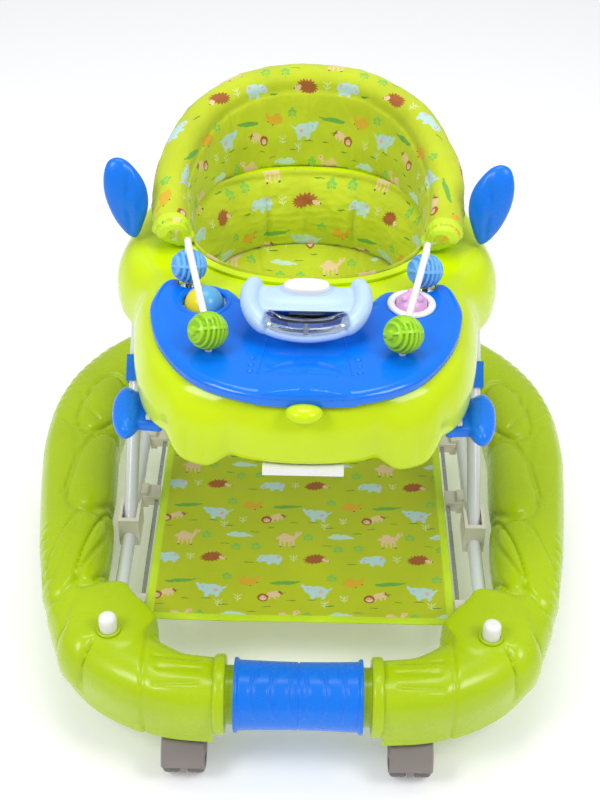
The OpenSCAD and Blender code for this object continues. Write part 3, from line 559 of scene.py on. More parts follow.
def seg_sdf(X, Y, pts):
    """Distance to a polyline in plan."""
    d = np.full(X.shape, 1e9)
    for (ax, ay), (bx, by) in zip(pts[:-1], pts[1:]):
        vx, vy = bx - ax, by - ay; L2 = vx * vx + vy * vy
        t = np.clip(((X - ax) * vx + (Y - ay) * vy) / L2, 0, 1)
        d = np.minimum(d, np.hypot(X - ax - t * vx, Y - ay - t * vy))
    return d


def leaf(X, Y, cx, cy, a, b, ang, p=2.0):
    """Normalised radius of a leaf outline in plan."""
    c, s = math.cos(math.radians(ang)), math.sin(math.radians(ang))
    x, y = (X - cx) * c + (Y - cy) * s, -(X - cx) * s + (Y - cy) * c
    return (np.abs(x / a) ** p + np.abs(y / b) ** p) ** (1 / p)


def shell(side):
    P = resample(cr(ROWS, 24), 420)
    n = len(P); M = 64
    T = np.gradient(P[:, :2], axis=0); T /= np.linalg.norm(T, axis=1)[:, None]
    T[0] = (1, 0); T[-1] = (-1, 0)
    N_ = np.stack([-T[:, 1], T[:, 0]], 1)          # inward in plan
    a = np.linspace(0, math.pi, M)
    low = 8
    hw, hh = P[:, 2] / 2, P[:, 3] / 2
    sx = np.concatenate([np.linspace(0.90, 1.0, low, endpoint=False), spow(np.cos(a), 0.8), np.linspace(-1.0, -0.90, low + 1)[1:]])
    sz = np.concatenate([np.linspace(-1, 0, low, endpoint=False), spow(np.sin(a), 0.8), np.linspace(0, -1, low + 1)[1:]])
    C = P[:, :2] + N_ * hw[:, None]
    X = C[:, 0][:, None] - N_[:, 0][:, None] * hw[:, None] * sx
    Y = C[:, 1][:, None] - N_[:, 1][:, None] * hw[:, None] * sx
    Z = 100 + hh[:, None] * sz[None, :]
    # surface normals from the undisplaced form
    S = np.stack([X, Y, Z], -1)
    du = np.gradient(S, axis=0); dv = np.gradient(S, axis=1)
    nr = np.cross(dv, du); nr /= np.linalg.norm(nr, axis=-1)[..., None] + 1e-9
    up = (S - np.concatenate([C[:, None, :] * np.ones((1, S.shape[1], 1)), np.full(S.shape[:2] + (1,), 100.0)], -1))
    flip = np.sign((nr * up).sum(-1)); flip[flip == 0] = 1; nr *= flip[..., None]
    d = np.zeros(X.shape)
    arc = np.broadcast_to(np.arange(n)[:, None] / (n - 1), X.shape)
    top = sstep(Z, 92, 112)
    inner = (sx < 0)[None, :] * np.ones(X.shape)
    # tight cuff between the flange and the seam
    cuff = sstep(X, 165, 161) * (Y < -200)
    d += -1.6 * cuff
    d += -2.2 * np.exp(-((X - 164) / 1.8) ** 2) * (Y < -200)
    # two pressed-in ribs along the cuff, top and front
    for (x0, x1, yy, zz) in ((104, 156, -300, 0), (100, 150, -316, 0), (104, 152, -334, 0)):
        g_ = np.exp(-((Y - yy) / 2.6) ** 2) * sstep(X, x0 - 3, x0 + 4) * sstep(X, x1 + 3, x1 - 4) * top
        d += -1.8 * g_
    # same at the rear end
    cuffr = sstep(X, 165, 161) * (Y > 250)
    d += -1.6 * cuffr - 2.2 * np.exp(-((X - 164) / 1.8) ** 2) * (Y > 250)
    # leaves on the inner shoulder
    L1 = leaf(X, Y, 250, 2, 29, 74, 8, 2.3)
    L2 = leaf(X, Y, 231, -126, 15, 72, 10, 2.2)
    L3 = leaf(X, Y, 262, 128, 22, 56, 12, 2.2)
    for L, hgt in ((L1, 5.0), (L2, 4.4), (L3, 4.0)):
        m = sstep(Z, 84, 104)
        d += m * (hgt * np.clip(1 - L ** 2.4, 0, 1) ** 0.55 - 3.0 * np.exp(-((L - 1.06) / 0.075) ** 2))
    # raised long panel on the outer shoulder, front half
    F3 = leaf(X, Y, 262, -146, 21, 66, 14, 3.0)
    d += top * (2.2 * sstep(F3, 1.04, 0.92) - 1.4 * np.exp(-((F3 - 1.1) / 0.07) ** 2))
    F4 = leaf(X, Y, 274, -140, 7, 52, 10, 2.6)
    d += -1.1 * top * np.exp(-((F4 - 1.0) / 0.16) ** 2)
    # flowing line behind it
    g1 = seg_sdf(X, Y, [(306, 96), (290, 72), (283, 44), (279, 10), (281, -20), (288, -44)])
    d += -2.0 * top * np.exp(-(g1 / 2.6) ** 2)
    g2 = seg_sdf(X, Y, [(247, 84), (262, 92), (284, 118), (293, 150)])
    d += -1.9 * top * np.exp(-(g2 / 2.4) ** 2)
    # scalloped ridge along the outer shoulder
    k = 0.0
    sc_ang = (sx > 0.55) & (sx < 0.99)
    S_out = np.cumsum(np.r_[0, np.linalg.norm(np.diff(P[:, :2], axis=0), axis=1)])[:, None]
    band = np.exp(-((np.broadcast_to(sx[None, :], X.shape) - 0.80) / 0.17) ** 2) * sstep(Z, 96, 112)
    for (y0, y1, h_) in ((-232, -96, 2.8), (120, 262, 2.4)):
        w_ = sstep(Y, y0 - 8, y0 + 10) * sstep(Y, y1 + 8, y1 - 10)
        sc_ = np.abs(np.sin(S_out * math.pi / 17.0)) ** 0.55
        d += w_ * band * (h_ * sc_ - 0.8)
    # swirl band on the outer side wall
    g3 = np.exp(-((Z - (92 + 9 * np.sin(S_out / 62.0))) / 3.2) ** 2) * (np.broadcast_to(sx[None, :], X.shape) > 0.9)
    d += -0.9 * g3 * sstep(Y, -215, -190) * sstep(Y, 250, 220)
    # claw on the outer front corner
    K = leaf(X, Y, 249, -289, 21, 50, 30, 2.1)
    kd = 7.5 * np.clip(1 - K ** 2.2, 0, 1) ** 0.6
    d += kd * sstep(Z, 66, 90) - 2.6 * np.exp(-((K - 1.05) / 0.06) ** 2) * sstep(Z, 88, 104)
    # broad organic swelling
    d += 1.2 * np.sin(S_out / 48.0 + 0.6) * top * sstep(Y, -230, -200) * sstep(Y, 270, 240)
    S = S + nr * d[..., None]
    # platform round the stopper: levelled up and drawn inward to the rail bracket
    X1, Y1 = S[..., 0], S[..., 1]
    pl = sstep(leaf(X1, Y1, 203, -240, 46, 46, 20, 3.4), 1.06, 0.86)
    S[..., 2] = np.where(Z > 96, S[..., 2] + pl * (141.5 - S[..., 2]) * sstep(Z, 96, 128) * 0.94, S[..., 2])
    pull = inner * sstep(Y1, -268, -246) * sstep(Y1, -186, -200) * sstep(Z, 58, 70)
    n_in = N_[:, None, :] * np.ones((1, S.shape[1], 1))
    S[..., 0] += (n_in[..., 0] * 20 * pull * sstep(-np.broadcast_to(sx[None, :], X.shape), 0.05, 0.9))
    S[..., 1] += (n_in[..., 1] * 6 * pull * sstep(-np.broadcast_to(sx[None, :], X.shape), 0.05, 0.9))
    S[..., 2] = np.clip(S[..., 2], 60, 147)
    # inner skin
    q = 3.0
    I = np.stack([C[:, 0][:, None] - N_[:, 0][:, None] * (hw[:, None] - q) * sx * 0.97,
                  C[:, 1][:, None] - N_[:, 1][:, None] * (hw[:, None] - q) * sx * 0.97,
                  np.where(sz[None, :] > -0.999, 100 + (hh[:, None] - q) * sz[None, :], Z)], -1)
    ring = np.concatenate([S, I[:, ::-1]], 1)
    m, c = ring.shape[:2]; h_ = c // 2
    V = ring.reshape(-1, 3).copy(); V[:, 0] *= side
    F = grid_faces(m, c)
    for b in (0, (m - 1) * c):
        F += [(b + k_, b + k_ + 1, b + c - 2 - k_, b + c - 1 - k_) for k_ in range(h_ - 1)]
    return V, F


def flange(side, y):
    pr = [(31.4, 0), (40.2, 0), (41.6, 0.8), (42.5, 2.6), (42.5, 9.4), (41.6, 11.4), (40.2, 12.3), (31.4, 12.3), (31.4, 0)]
    v, f_ = lathe(pr, 72)
    return xf(v, T3(side * 77, y, 101) @ Ry(side * 90)), f_


for side, nm in ((-1, "left"), (1, "right")):
    v, f_ = shell(side)
    parts = [(v, f_), flange(side, -320), flange(side, 320)]
    V, F = join(parts)
    o = obj("base_shell_" + nm + "_moulding", V, F, M_BASE, "base", rep=("base_shell_" + nm,), slot="base_lime_plastic", merge=0.01)
    shade_auto(o, 50)

# ------------------------------------------------------------------ finishes on the frame's own parts
def use(mat, *names):
    for n in names:
        me = NODES[n].data
        me.materials.clear(); me.materials.append(mat)


use(M_BASE, "front_bar", "rear_bar", "base_pan_left", "base_pan_right")
use(M_TUBE, "side_rails", "leg_inner", "leg_outer")
use(M_IVORY, "rail_front_brackets", "rail_rear_brackets", "mat_clips", "rail_sliders", "leg_inner_rollers", "tray_hinge_blocks", "tray_channels")
use(M_STEEL, "mat_side_rods", "leg_pins")
use(M_BLUE2, "cross_clamps")
use(M_WHITE, "music_box", "release_handle")
use(M_PALE, "steering_column")
use(M_CLEAR, "bead_feet")
use(M_RUB, "stopper_foot_left", "stopper_foot_right")
use(M_TRAY, "seat_ring")
for w_ in ("front", "side", "rear"):
    for s_ in ("left", "right"):
        use(M_GREY, "castor_%s_%s_hood" % (w_, s_))

# ------------------------------------------------------------------ front sleeve, with raised arrows
def sleeve():
    xs = np.concatenate([[-68, -68, -67.4, -66.6, -64.8, -64.0, -63.2], np.linspace(-62.4, 62.4, 210), [63.2, 64.0, 64.8, 66.6, 67.4, 68, 68]])
    n = 176; al = np.linspace(-math.pi, math.pi, n, endpoint=False)
    R_ = []
    for i, x in enumerate(xs):
        ax_ = abs(x)
        if ax_ > 67.9: r = 31.6 if i in (0, len(xs) - 1) else 39.0
        elif ax_ > 64.5: r = 39.6
        elif ax_ > 63.9: r = 38.6
        else: r = 35.4 + 1.5 * (ax_ / 64) ** 1.6 + (0.5 if ax_ > 62.9 else 0)
        rr_ = np.full(n, float(r))
        if ax_ <= 62.4:
            rr_ -= 1.2 * math.exp(-(x / 0.8) ** 2)
            for c_ in (11, 31, 51):
                s_ = 1 if x > 0 else -1
                d_ = ax_ - (c_ - 4.5 * (np.abs(al) / 0.62) ** 1.3)
                rr_ += 1.25 * np.exp(-(d_ / 1.5) ** 2) * sstep(np.abs(al), 0.82, 0.66) - 0.5 * np.exp(-((d_ + 3.2) / 1.6) ** 2) * sstep(np.abs(al), 0.82, 0.66)
        ang = al + math.radians(128)        # 0 faces up and to the front
        R_.append(np.stack([np.full(n, x), -320 + rr_ * np.cos(ang), 101 + rr_ * np.sin(ang)], 1))
    V, F = loft(R_, caps=False)
    return V, F


v, f_ = sleeve()
o = obj("front_sleeve_grip", v, f_, M_BLUE2, "base", rep=("front_sleeve",), slot="blue_plastic")
shade_auto(o, 60)

# ------------------------------------------------------------------ stoppers
for s_, nm in ((-1, "left"), (1, "right")):
    pr = [(0.01, 34), (6, 34), (6, 118), (7.5, 119.4), (9.3, 120.2), (9.75, 122), (9.75, 155.6), (9.5, 158.2), (8.8, 160.2), (7.4, 161.6), (5.0, 162.3), (0.01, 162.4)]
    v, f_ = lathe(pr, 56)
    o = obj("stopper_%s_knob" % nm, xf(v, T3(s_ * 205, -268, 0)), f_, M_WHITE, "stop_l" if s_ < 0 else "stop_r", rep=("stopper_" + nm,), slot="white_plastic")
    v, f_ = lathe([(9.9, 141.0), (13.4, 141.4), (13.6, 143.2), (12.6, 144.2), (10.6, 144.2), (9.9, 143.2), (9.9, 141.0)], 56)
    obj("stopper_collar_" + nm, xf(v, T3(s_ * 205, -268, 0)), f_, M_BASE, "base", slot="base_lime_plastic")

# ------------------------------------------------------------------ castor wheels
def wheel_prof():
    return [(3.1, 0.0), (22.5, 0.0), (25.2, 0.7), (26.2, 2.4), (26.5, 5.0), (26.5, 7.0), (25.9, 7.6), (25.9, 8.6), (26.5, 9.2), (26.5, 14.0), (26.0, 16.4), (24.6, 18.2), (22.2, 19.3),
            (20.8, 18.9), (20.2, 17.0), (19.4, 15.6), (12.6, 15.0), (9.6, 15.4), (8.8, 17.6), (7.6, 18.5), (3.1, 18.6)]


STEMS = [(122, -314), (281, 20), (150, 308)]
for i, w_ in enumerate(("front", "side", "rear")):
    for s_, nm in ((-1, "left"), (1, "right")):
        x0, y0 = s_ * STEMS[i][0], STEMS[i][1]
        parts = []; fm = []
        for q in (-1, 1):
            v, f_ = lathe(wheel_prof(), 72)
            M = T3(x0 + q * 3.6, y0 - 18, 26.5) @ Ry(q * 90)
            parts.append((xf(v, M), f_)); fm += [1 if (k // 72) in range(2, 11) else 0 for k in range(len(f_))]
            for k in range(6):      # ribs on the wheel face
                a = k * math.pi / 3
                b = box((9, -1.0, 14.4), (20, 1.0, 16.8))
                parts.append((xf(b[0], M @ Rz(math.degrees(a))), b[1])); fm += [0] * 6
            # axle cap
            v, f_ = sphere((0, 0, 0), (6.2, 6.2, 2.2), 28, 12)
            parts.append((xf(v + [0, 0, 18.2], M), f_)); fm += [0] * len(f_)
        V, F = join(parts)
        o = obj("castor_%s_%s_twin_wheels" % (w_, nm), V, F, None, "%s_%s_wheels" % (w_, nm), rep=("castor_%s_%s_wheels" % (w_, nm),),
                slot="grey_plastic", mats=[M_GREY, M_TYRE], fmat=fm)
        shade_auto(o, 40)

# ------------------------------------------------------------------ tray
HALF = [[0, -257], [46, -253], [92, -240], [136, -217], [163, -180], [177, -128], [184, -75], [189, -35], [206, 0], [214, 35],
        [209, 80], [198, 130], [178, 180], [138, 222], [76, 246]]
OUT = HALF + [[0, 253]] + [[-x, y] for x, y in HALF[:0:-1]]
LINE = resample(cr(OUT, 24, True), 560, True)
TN = np.roll(LINE, -1, 0) - np.roll(LINE, 1, 0); TN /= np.linalg.norm(TN, axis=1)[:, None]
NIN = np.stack([-TN[:, 1], TN[:, 0]], 1)


def open_pt(P, g):
    a = np.arctan2(P[:, 1] - 84, P[:, 0])
    r = 1 / ((np.abs(np.cos(a)) / (141 + g)) ** 2.3 + (np.abs(np.sin(a)) / (124 + g)) ** 2.3) ** (1 / 2.3)
    return np.stack([r * np.cos(a), 84 + r * np.sin(a)], 1)


AX = np.abs(LINE[:, 0])
front = LINE[:, 1] < -150
PAW = np.where(front, np.exp(-(np.abs((AX - 107) / 26)) ** 3.6), 0)
WEB = np.where(front, np.exp(-((AX - 74) / 9) ** 2), 0)          # hollow beside the paws
WEB2 = np.where(LINE[:, 1] < -110, np.exp(-((AX - 143) / 8) ** 2), 0)
MID = np.where(front, np.exp(-(AX / 40) ** 2), 0)
WING = np.where(LINE[:, 1] < 0, np.exp(-((LINE[:, 1] + 46) / 17) ** 2) * (AX > 150), 0)


def tring(g, z, mixk=0.0, og=0.0, dz=0.0, k=0.0):
    """k runs 0 at the top of the side to 1 at its foot: the paws and hollows fade in."""
    gg = g - 7.5 * PAW * k + 3.4 * WEB * k + 2.2 * WEB2 * k + 2.6 * WING * (1 - 0.4 * k)
    o_ = LINE + NIN * gg[:, None]
    q = open_pt(LINE, og)
    r = o_ + (q - o_) * mixk
    zz = z - dz * PAW + 0.0 * LINE[:, 0]
    return np.stack([r[:, 0], r[:, 1], zz], 1)


prof = [(4.5, 368, 0, 0, 16, 1), (2.0, 368.8, 0, 0, 15.4, 1), (0.6, 371, 0, 0, 14, 1), (0.0, 376, 0, 0, 12, .97), (-0.4, 384, 0, 0, 9, .9),
        (-0.2, 392, 0, 0, 6.5, .8), (0.4, 400, 0, 0, 4.6, .66), (1.8, 407, 0, 0, 3, .52), (4.0, 414, 0, 0, 1.8, .38), (7.0, 420.5, 0, 0, 1, .25),
        (10.6, 426.4, 0, 0, .4, .14), (14.6, 431, 0, 0, 0, .06), (19.5, 434.8, 0, 0, 0, 0), (25, 437.0, 0, 0, 0, 0), (31, 438.0, 0, 0, 0, 0)]
rings = [tring(*p_) for p_ in prof]
for mk in (0.12, 0.3, 0.5, 0.7, 0.88):
    rings.append(tring(31, 438.0, mk, 2))
rings += [tring(31, 438.0, 1, 4), tring(31, 437.6, 1, 1.6), tring(31, 436.2, 1, 0.3), tring(31, 433, 1, 0), tring(31, 424, 1, 0), tring(31, 423.4, 1, 2.4),
          tring(31, 434.8, 1, 4.2), tring(31, 434.8, 0, 0)]
for p_ in reversed(prof[1:-3]):
    rings.append(tring(p_[0] + 3.1, p_[1] - 0.4, 0, 0, p_[4], p_[5]))
R_ = np.array(rings)
# soft ripple of the wall and two folds on each paw
Xr, Yr, Zr = R_[..., 0], R_[..., 1], R_[..., 2]
m_ = (Yr < -150) & (Zr < 415)
for dx_ in (-9.0, 8.0):
    g_ = np.exp(-((np.abs(Xr) - 107 - dx_) / 3.4) ** 2) * m_ * sstep(Zr, 404, 384) * sstep(Zr, 352, 362)
    R_[..., 1] += 1.5 * g_
V, F = loft(R_, wrap=True)
tray = obj("tray_moulding", V, F, M_TRAY, "tray", rep=("tray_shell",), slot="lime_plastic", merge=0.01)


def solid_from_outline(P, zs):
    """Stack of inset outlines, capped flat: zs = [(inset, z), ...] from the bottom up."""
    P = np.asarray(P, float)
    t = np.roll(P, -1, 0) - np.roll(P, 1, 0); t /= np.linalg.norm(t, axis=1)[:, None] + 1e-9
    nn = np.stack([-t[:, 1], t[:, 0]], 1)
    area2 = np.sum(P[:, 0] * np.roll(P[:, 1], -1) - np.roll(P[:, 0], -1) * P[:, 1])
    if area2 < 0: nn = -nn
    rg = [np.c_[P + nn * g, np.full(len(P), z)] for g, z in zs]
    V = np.vstack(rg); n = len(P); F = grid_faces(len(zs), n)
    F.append(tuple(range(n - 1, -1, -1))); F.append(tuple((len(zs) - 1) * n + i for i in range(n)))
    return V, F


def cutter(v, f_):
    me = bpy.data.meshes.new("cut"); me.from_pydata([tuple(p * 0.001) for p in np.asarray(v)], [], f_)
    o = bpy.data.objects.new("cut", me); SC.collection.objects.link(o)
    bm = bmesh.new(); bm.from_mesh(me); bmesh.ops.remove_doubles(bm, verts=bm.verts, dist=1e-6)
    bmesh.ops.holes_fill(bm, edges=bm.edges); bmesh.ops.recalc_face_normals(bm, faces=bm.faces); bm.to_mesh(me); bm.free()
    return o


def cyl_cut(x, y, r, z0, z1, seg=72):
    a = np.linspace(0, 2 * math.pi, seg, endpoint=False)
    return cutter(*solid_from_outline(np.stack([x + r * np.cos(a), y + r * np.sin(a)], 1), [(0, z0), (0, z1)]))


def boolean(o, c, op="DIFFERENCE"):
    mod(o, "BOOLEAN", operation=op, object=c, solver="EXACT"); apply_mods(o); bpy.data.objects.remove(c)


boolean(tray, cyl_cut(-106, -90, 23.6, 410, 460))
shade_auto(tray, 50)

# small nose on the rim
v, f_ = sphere((0, -253, 431.5), (18, 12, 8.5), 56, 30)
v[:, 1] -= 2.0 * (1 - (v[:, 0] / 18) ** 2)
obj("tray_nose", v, f_, M_TRAY, "tray", slot="lime_plastic")

# ------------------------------------------------------------------ toy panel
PH = [[0, -242], [60, -236], [112, -210], [147, -160], [161, -105], [158, -72], [149, -48], [134, -46], [112, -62], [84, -62], [66, -84], [58, -92]]
PC = PH + [[-x, y] for x, y in PH[::-1] if x != 0]
PO = resample(cr(PC, 20, True), 420, True)
PO[:, 1] = np.where(PO[:, 1] < -150, -150 + (PO[:, 1] + 150) * 1.075, PO[:, 1])
V, F = solid_from_outline(PO, [(0, 434.6), (0, 447.3)])
panel = obj("toy_panel_moulding", V, F, M_BLUE, "tray", rep=("toy_panel",), slot="blue_plastic")
boolean(panel, cyl_cut(-106, -90, 22.4, 400, 480))
boolean(panel, cyl_cut(109, -90, 17.5, 400, 480))
for s_ in (-1, 1): boolean(panel, cyl_cut(s_ * 124, -52, 13.3, 400, 480))
voxel(panel, 1.0, 3)
co = np.zeros(len(panel.data.vertices) * 3); panel.data.vertices.foreach_get("co", co); co = co.reshape(-1, 3) * 1000
dd = seg_sdf(co[:, 0], co[:, 1], np.vstack([PO, PO[:1]]).tolist())
k_ = sstep(co[:, 2], 442, 446.5)
co[:, 2] -= k_ * 4.2 * np.clip(1 - dd / 8.5, 0, 1) ** 2
panel.data.vertices.foreach_set("co", (co / 1000).ravel()); panel.data.update()
# domed boss, trimmed by the panel's outline
v, f_ = sphere((0, -231, 439.0), (56, 52, 13.5), 96, 44)
boss = obj("panel_boss", v, f_, M_BLUE, "tray", slot="blue_plastic", merge=0.02)
c_ = cutter(*solid_from_outline(PO, [(0.2, 434), (0.2, 447.0), (1.4, 449.0), (5, 452), (5, 470)]))
boolean(boss, c_, "INTERSECT"); shade_auto(boss, 40)
# raised lines and rivets
parts = []
for a, b in (((-37, -142), (-46, -214)), ((37, -142), (46, -214))):
    P = np.array([[a[0] + (b[0] - a[0]) * t, a[1] + (b[1] - a[1]) * t, 447.3] for t in np.linspace(0, 1, 24)])
    parts.append(tube(P, 0.75, 10))
for s_ in (-1, 1):
    for x, y in ((52, -188), (53, -199), (53.6, -210)):
        parts.append(sphere((s_ * x, y, 447.1), (3.1, 3.1, 1.8), 20, 12))
V, F = join(parts)
obj("panel_lines_and_rivets", V, F, M_BLUE, "tray", slot="blue_plastic")
# raised rim round the ball
parts = []
for cx, cy, r in ((-106, -90, 25.5),):
    v, f_ = lathe([(22.5, 446.9), (24.0, 448.3), (26.4, 448.6), (28.2, 447.9), (29.0, 446.9), (22.5, 446.9)], 72)
    parts.append((xf(v, T3(cx, cy, 0)), f_))
V, F = join(parts)
obj("ball_rim", V, F, M_BLUE, "tray", slot="blue_plastic")

# ball, with the dark split between its halves
th = np.linspace(0, math.pi, 61); a = np.linspace(0, 2 * math.pi, 96, endpoint=False)
P = np.stack([np.stack([np.sin(t) * np.cos(a), np.sin(t) * np.sin(a), np.full(96, np.cos(t))], 1) for t in th])
r_ = 20.5 - 0.9 * np.exp(-((P[..., 0] + 0.10) / 0.03) ** 2)
P = P * r_[..., None] + [-106, -90, 442.3]
v, f_ = loft(P)
M_YEL = plastic("ball_yellow_plastic", (236, 220, 40), rough=0.2)
M_BSK = plastic("ball_blue_plastic", (96, 172, 220), rough=0.2)
fm = []
for q in f_:
    c = v[list(q)].mean(0) - np.array([-106, -90, 442.3])
    fm.append(0 if c[0] / 20.5 < -0.10 else 1)
obj("ball_two_colour", v, f_, None, "ball", rep=("ball",), slot="yellow_blue_plastic", mats=[M_YEL, M_BSK], fmat=fm)

# dome with three nubs, and its ring
v, f_ = lathe([(0.01, 438.5), (16.9, 438.5), (16.9, 446)] + [(16.9 * math.cos(t), 446 + 14.5 * math.sin(t)) for t in np.linspace(0.05, 1.54, 26)], 72)
parts = [(xf(v, T3(109, -90, 0)), f_)]
for k in range(3):
    t = math.radians(90 + 120 * k)
    parts.append(sphere((109 + 8.6 * math.cos(t), -90 + 8.6 * math.sin(t), 457.6), (4.6, 4.6, 4.0), 28, 16))
V, F = join(parts)
obj("dome_with_nubs", V, F, M_PINK, "dome", rep=("dome",), slot="pink_plastic")
v, f_ = lathe([(17.3, 447.5), (25.2, 447.5), (25.4, 448.6), (24.8, 450.0), (23.4, 450.8), (19.4, 450.9), (18.0, 450.3), (17.3, 449.0), (17.3, 447.5)], 96)
obj("dome_ring_moulding", xf(v, T3(109, -90, 0)), f_, M_WHITE, "tray", rep=("dome_ring",), slot="white_plastic")

# ------------------------------------------------------------------ steering wheel
SM = T3(0, -135, 472) @ Rx(6)


def in_wheel(parts):
    V, F = join(parts); return xf(V, SM), F


def rounded_slab(P, z0, z1, r, n=5):
    zs = [(r * (1 - math.sin(t)), z0 + r * (1 - math.cos(t))) for t in np.linspace(0, math.pi / 2, n)]
    zs += [(r * (1 - math.cos(t)), z1 - r * (1 - math.sin(t))) for t in np.linspace(0, math.pi / 2, n)]
    return solid_from_outline(P, zs)


parts = []
for s_ in (-1, 1):
    P = cr([[s_ * 53.5, 31, 1.5], [s_ * 56.5, 22, 2], [s_ * 57, 6, 1], [s_ * 52.5, -10, -0.5], [s_ * 44.5, -23, -2.5], [s_ * 38, -30, -4]], 14)
    parts.append(tube(P, np.interp(np.linspace(0, 1, len(P)), [0, 0.3, 0.7, 0.85, 1], [9.4, 9.8, 9.6, 8.4, 6.0]), 28))
    parts.append(sphere((s_ * 53.5, 31, 1.5), (9.6, 9.6, 9.6), 32, 20))
P = cr([[-50, -16, -3], [-43, -26, -4.4], [-26, -35.4, -4.8], [0, -40.0, -5.0], [26, -35.4, -4.8], [43, -26, -4.4], [50, -16, -3]], 14)
parts.append(tube(P, 5.2, 24))
PL = resample(cr([[-50, 27], [-30, 29.5], [0, 34], [30, 29.5], [50, 27], [56, 8], [47, -8], [28, -10.5], [0, -12.0], [-28, -10.5], [-47, -8], [-56, 8]], 16, True), 200, True)
parts.append(rounded_slab(PL, -6.5, 4.6, 3.6))
parts.append(sphere((0, 14, 3.0), (46, 20, 5.2), 60, 24))
v, f_ = in_wheel(parts)
wheel = obj("steering_wheel_moulding", v, f_, M_PALE, "steering", rep=("steering_wheel",), slot="pale_blue_plastic")
voxel(wheel, 1.0, 5)
# oval pedestal and button
a = np.linspace(0, 2 * math.pi, 120, endpoint=False)


def oval(hx, hy): return np.stack([hx * spow(np.cos(a), 0.75), 20 + hy * spow(np.sin(a), 0.92)], 1)


v, f_ = in_wheel([rounded_slab(oval(26.0, 12.4), 3.0, 8.4, 1.2)])
o = obj("horn_pedestal", v, f_, M_PALE, "steering", slot="pale_blue_plastic"); shade_auto(o, 40)
bo = oval(23.2, 10.2)
zs = [(0, 6.2), (0, 12.0), (0.4, 13.4), (1.4, 14.6), (3.2, 15.4), (6, 15.8)]
v, f_ = in_wheel([solid_from_outline(bo, zs)])
o = obj("horn_button_cap", v, f_, M_WHITE, "horn", rep=("horn_button",), slot="white_plastic"); shade_auto(o, 30)
# clear window and the little lamp in it
WP = resample(cr([[0, -26.6], [22, -23.6], [33, -15.4], [38.5, -15.6], [43.2, -28], [40, -33.2], [26, -40.2], [0, -44.6],
                  [-26, -40.2], [-40, -33.2], [-43.2, -28], [-38.5, -15.6], [-33, -15.4], [-22, -23.6]], 12, True), 240, True)
v, f_ = in_wheel([rounded_slab(WP, -0.6, 9.6, 2.6, 6)])
o = obj("window_clear", v, f_, M_CLEAR, "steering", rep=("steering_window",), slot="clear_plastic"); shade_auto(o, 50)
v, f_ = lathe([(0.01, 0.4), (2.6, 0.4), (2.6, 1.6), (2.1, 1.8), (2.1, 6.0), (1.4, 7.4), (0.01, 7.9)], 28)
M_SIL = plastic("lamp_silver", (176, 178, 184), rough=0.25)
obj("window_lamp", xf(v, SM @ T3(0, -35.6, 0)), f_, M_SIL, "steering", slot="clear_plastic")

# ------------------------------------------------------------------ bead arches
RC = [[124, -52, 438.6], [124, -52, 462], [124, -52.5, 484], [123.6, -58, 499], [122, -74, 508], [118, -92, 503],
      [107, -133, 485.5], [98, -166, 471.5], [96.4, -173, 464], [95.8, -176, 455], [95.8, -177, 446.9]]
parts = []
for s_ in (-1, 1):
    P = cr([[s_ * x, y, z] for x, y, z in RC], 10)
    parts.append(tube(P, 3.55, 22))
V, F = join(parts)
obj("arch_rods_coated", V, F, M_WHITE, "tray", rep=("arch_rods",), slot="white_plastic")


def ribbed(R0, axis, cross, n_th=90, n_a=144, pitch=5.2, depth=3.6, flat=0.92):
    """Ball cut into parallel fins, with one band running across them."""
    th = np.linspace(0, math.pi, n_th + 1); a = np.linspace(0, 2 * math.pi, n_a, endpoint=False)
    P = np.stack([np.stack([np.sin(t) * np.cos(a), np.sin(t) * np.sin(a), np.full(n_a, np.cos(t))], 1) for t in th])
    ax_ = np.array(axis, float); ax_ /= np.linalg.norm(ax_)
    cx_ = np.array(cross, float); cx_ -= ax_ * cx_.dot(ax_); cx_ /= np.linalg.norm(cx_)
    t_ = P @ ax_ * R0; c_ = P @ cx_ * R0
    g = 0.5 + 0.5 * np.cos(2 * math.pi * t_ / pitch)
    fin = sstep(g, 0.30, 0.62)
    band = sstep(np.abs(c_), 2.4, 1.5)
    k = np.maximum(fin, band)
    k = np.maximum(k, sstep(np.abs(P[..., 2]), 0.93, 0.97))
    r_ = R0 - depth * (1 - k)
    Q = P * r_[..., None]; Q[..., 2] *= flat
    return loft(Q)


for s_, nm in ((-1, "l"), (1, "r")):
    v, f_ = ribbed(19.2, (0.92, 0.34, -0.2), (0, 0.5, 1) if s_ > 0 else (0.1, 0.6, 1))
    obj("bead_rear_%s_ribbed" % ("left" if s_ < 0 else "right"), v + np.array([s_ * 124, -52, 465.5]), f_, M_SKY, "bead_r" + nm,
        rep=("bead_rear_%s" % ("left" if s_ < 0 else "right"),), slot="sky_blue_plastic")
    v, f_ = ribbed(20.2, (0.80, 0.5, -0.35), (-0.3, 0.7, 0.9))
    obj("bead_front_%s_ribbed" % ("left" if s_ < 0 else "right"), v + np.array([s_ * 96, -174, 469.0]), f_, M_BEADL, "bead_f" + nm,
        rep=("bead_front_%s" % ("left" if s_ < 0 else "right"),), slot="lime_plastic")


# ------------------------------------------------------------------ ears, latches
def hull_of(parts):
    bm = bmesh.new()
    for v, _ in parts:
        for p in v: bm.verts.new(tuple(p))
    r = bmesh.ops.convex_hull(bm, input=bm.verts)
    bmesh.ops.delete(bm, geom=[g_ for g_ in r["geom_interior"] if isinstance(g_, bmesh.types.BMVert)], context="VERTS")
    bm.verts.ensure_lookup_table(); bm.verts.index_update()
    V = np.array([v.co[:] for v in bm.verts]); F = [tuple(q.index for q in f.verts) for f in bm.faces]
    bm.free(); return V, F


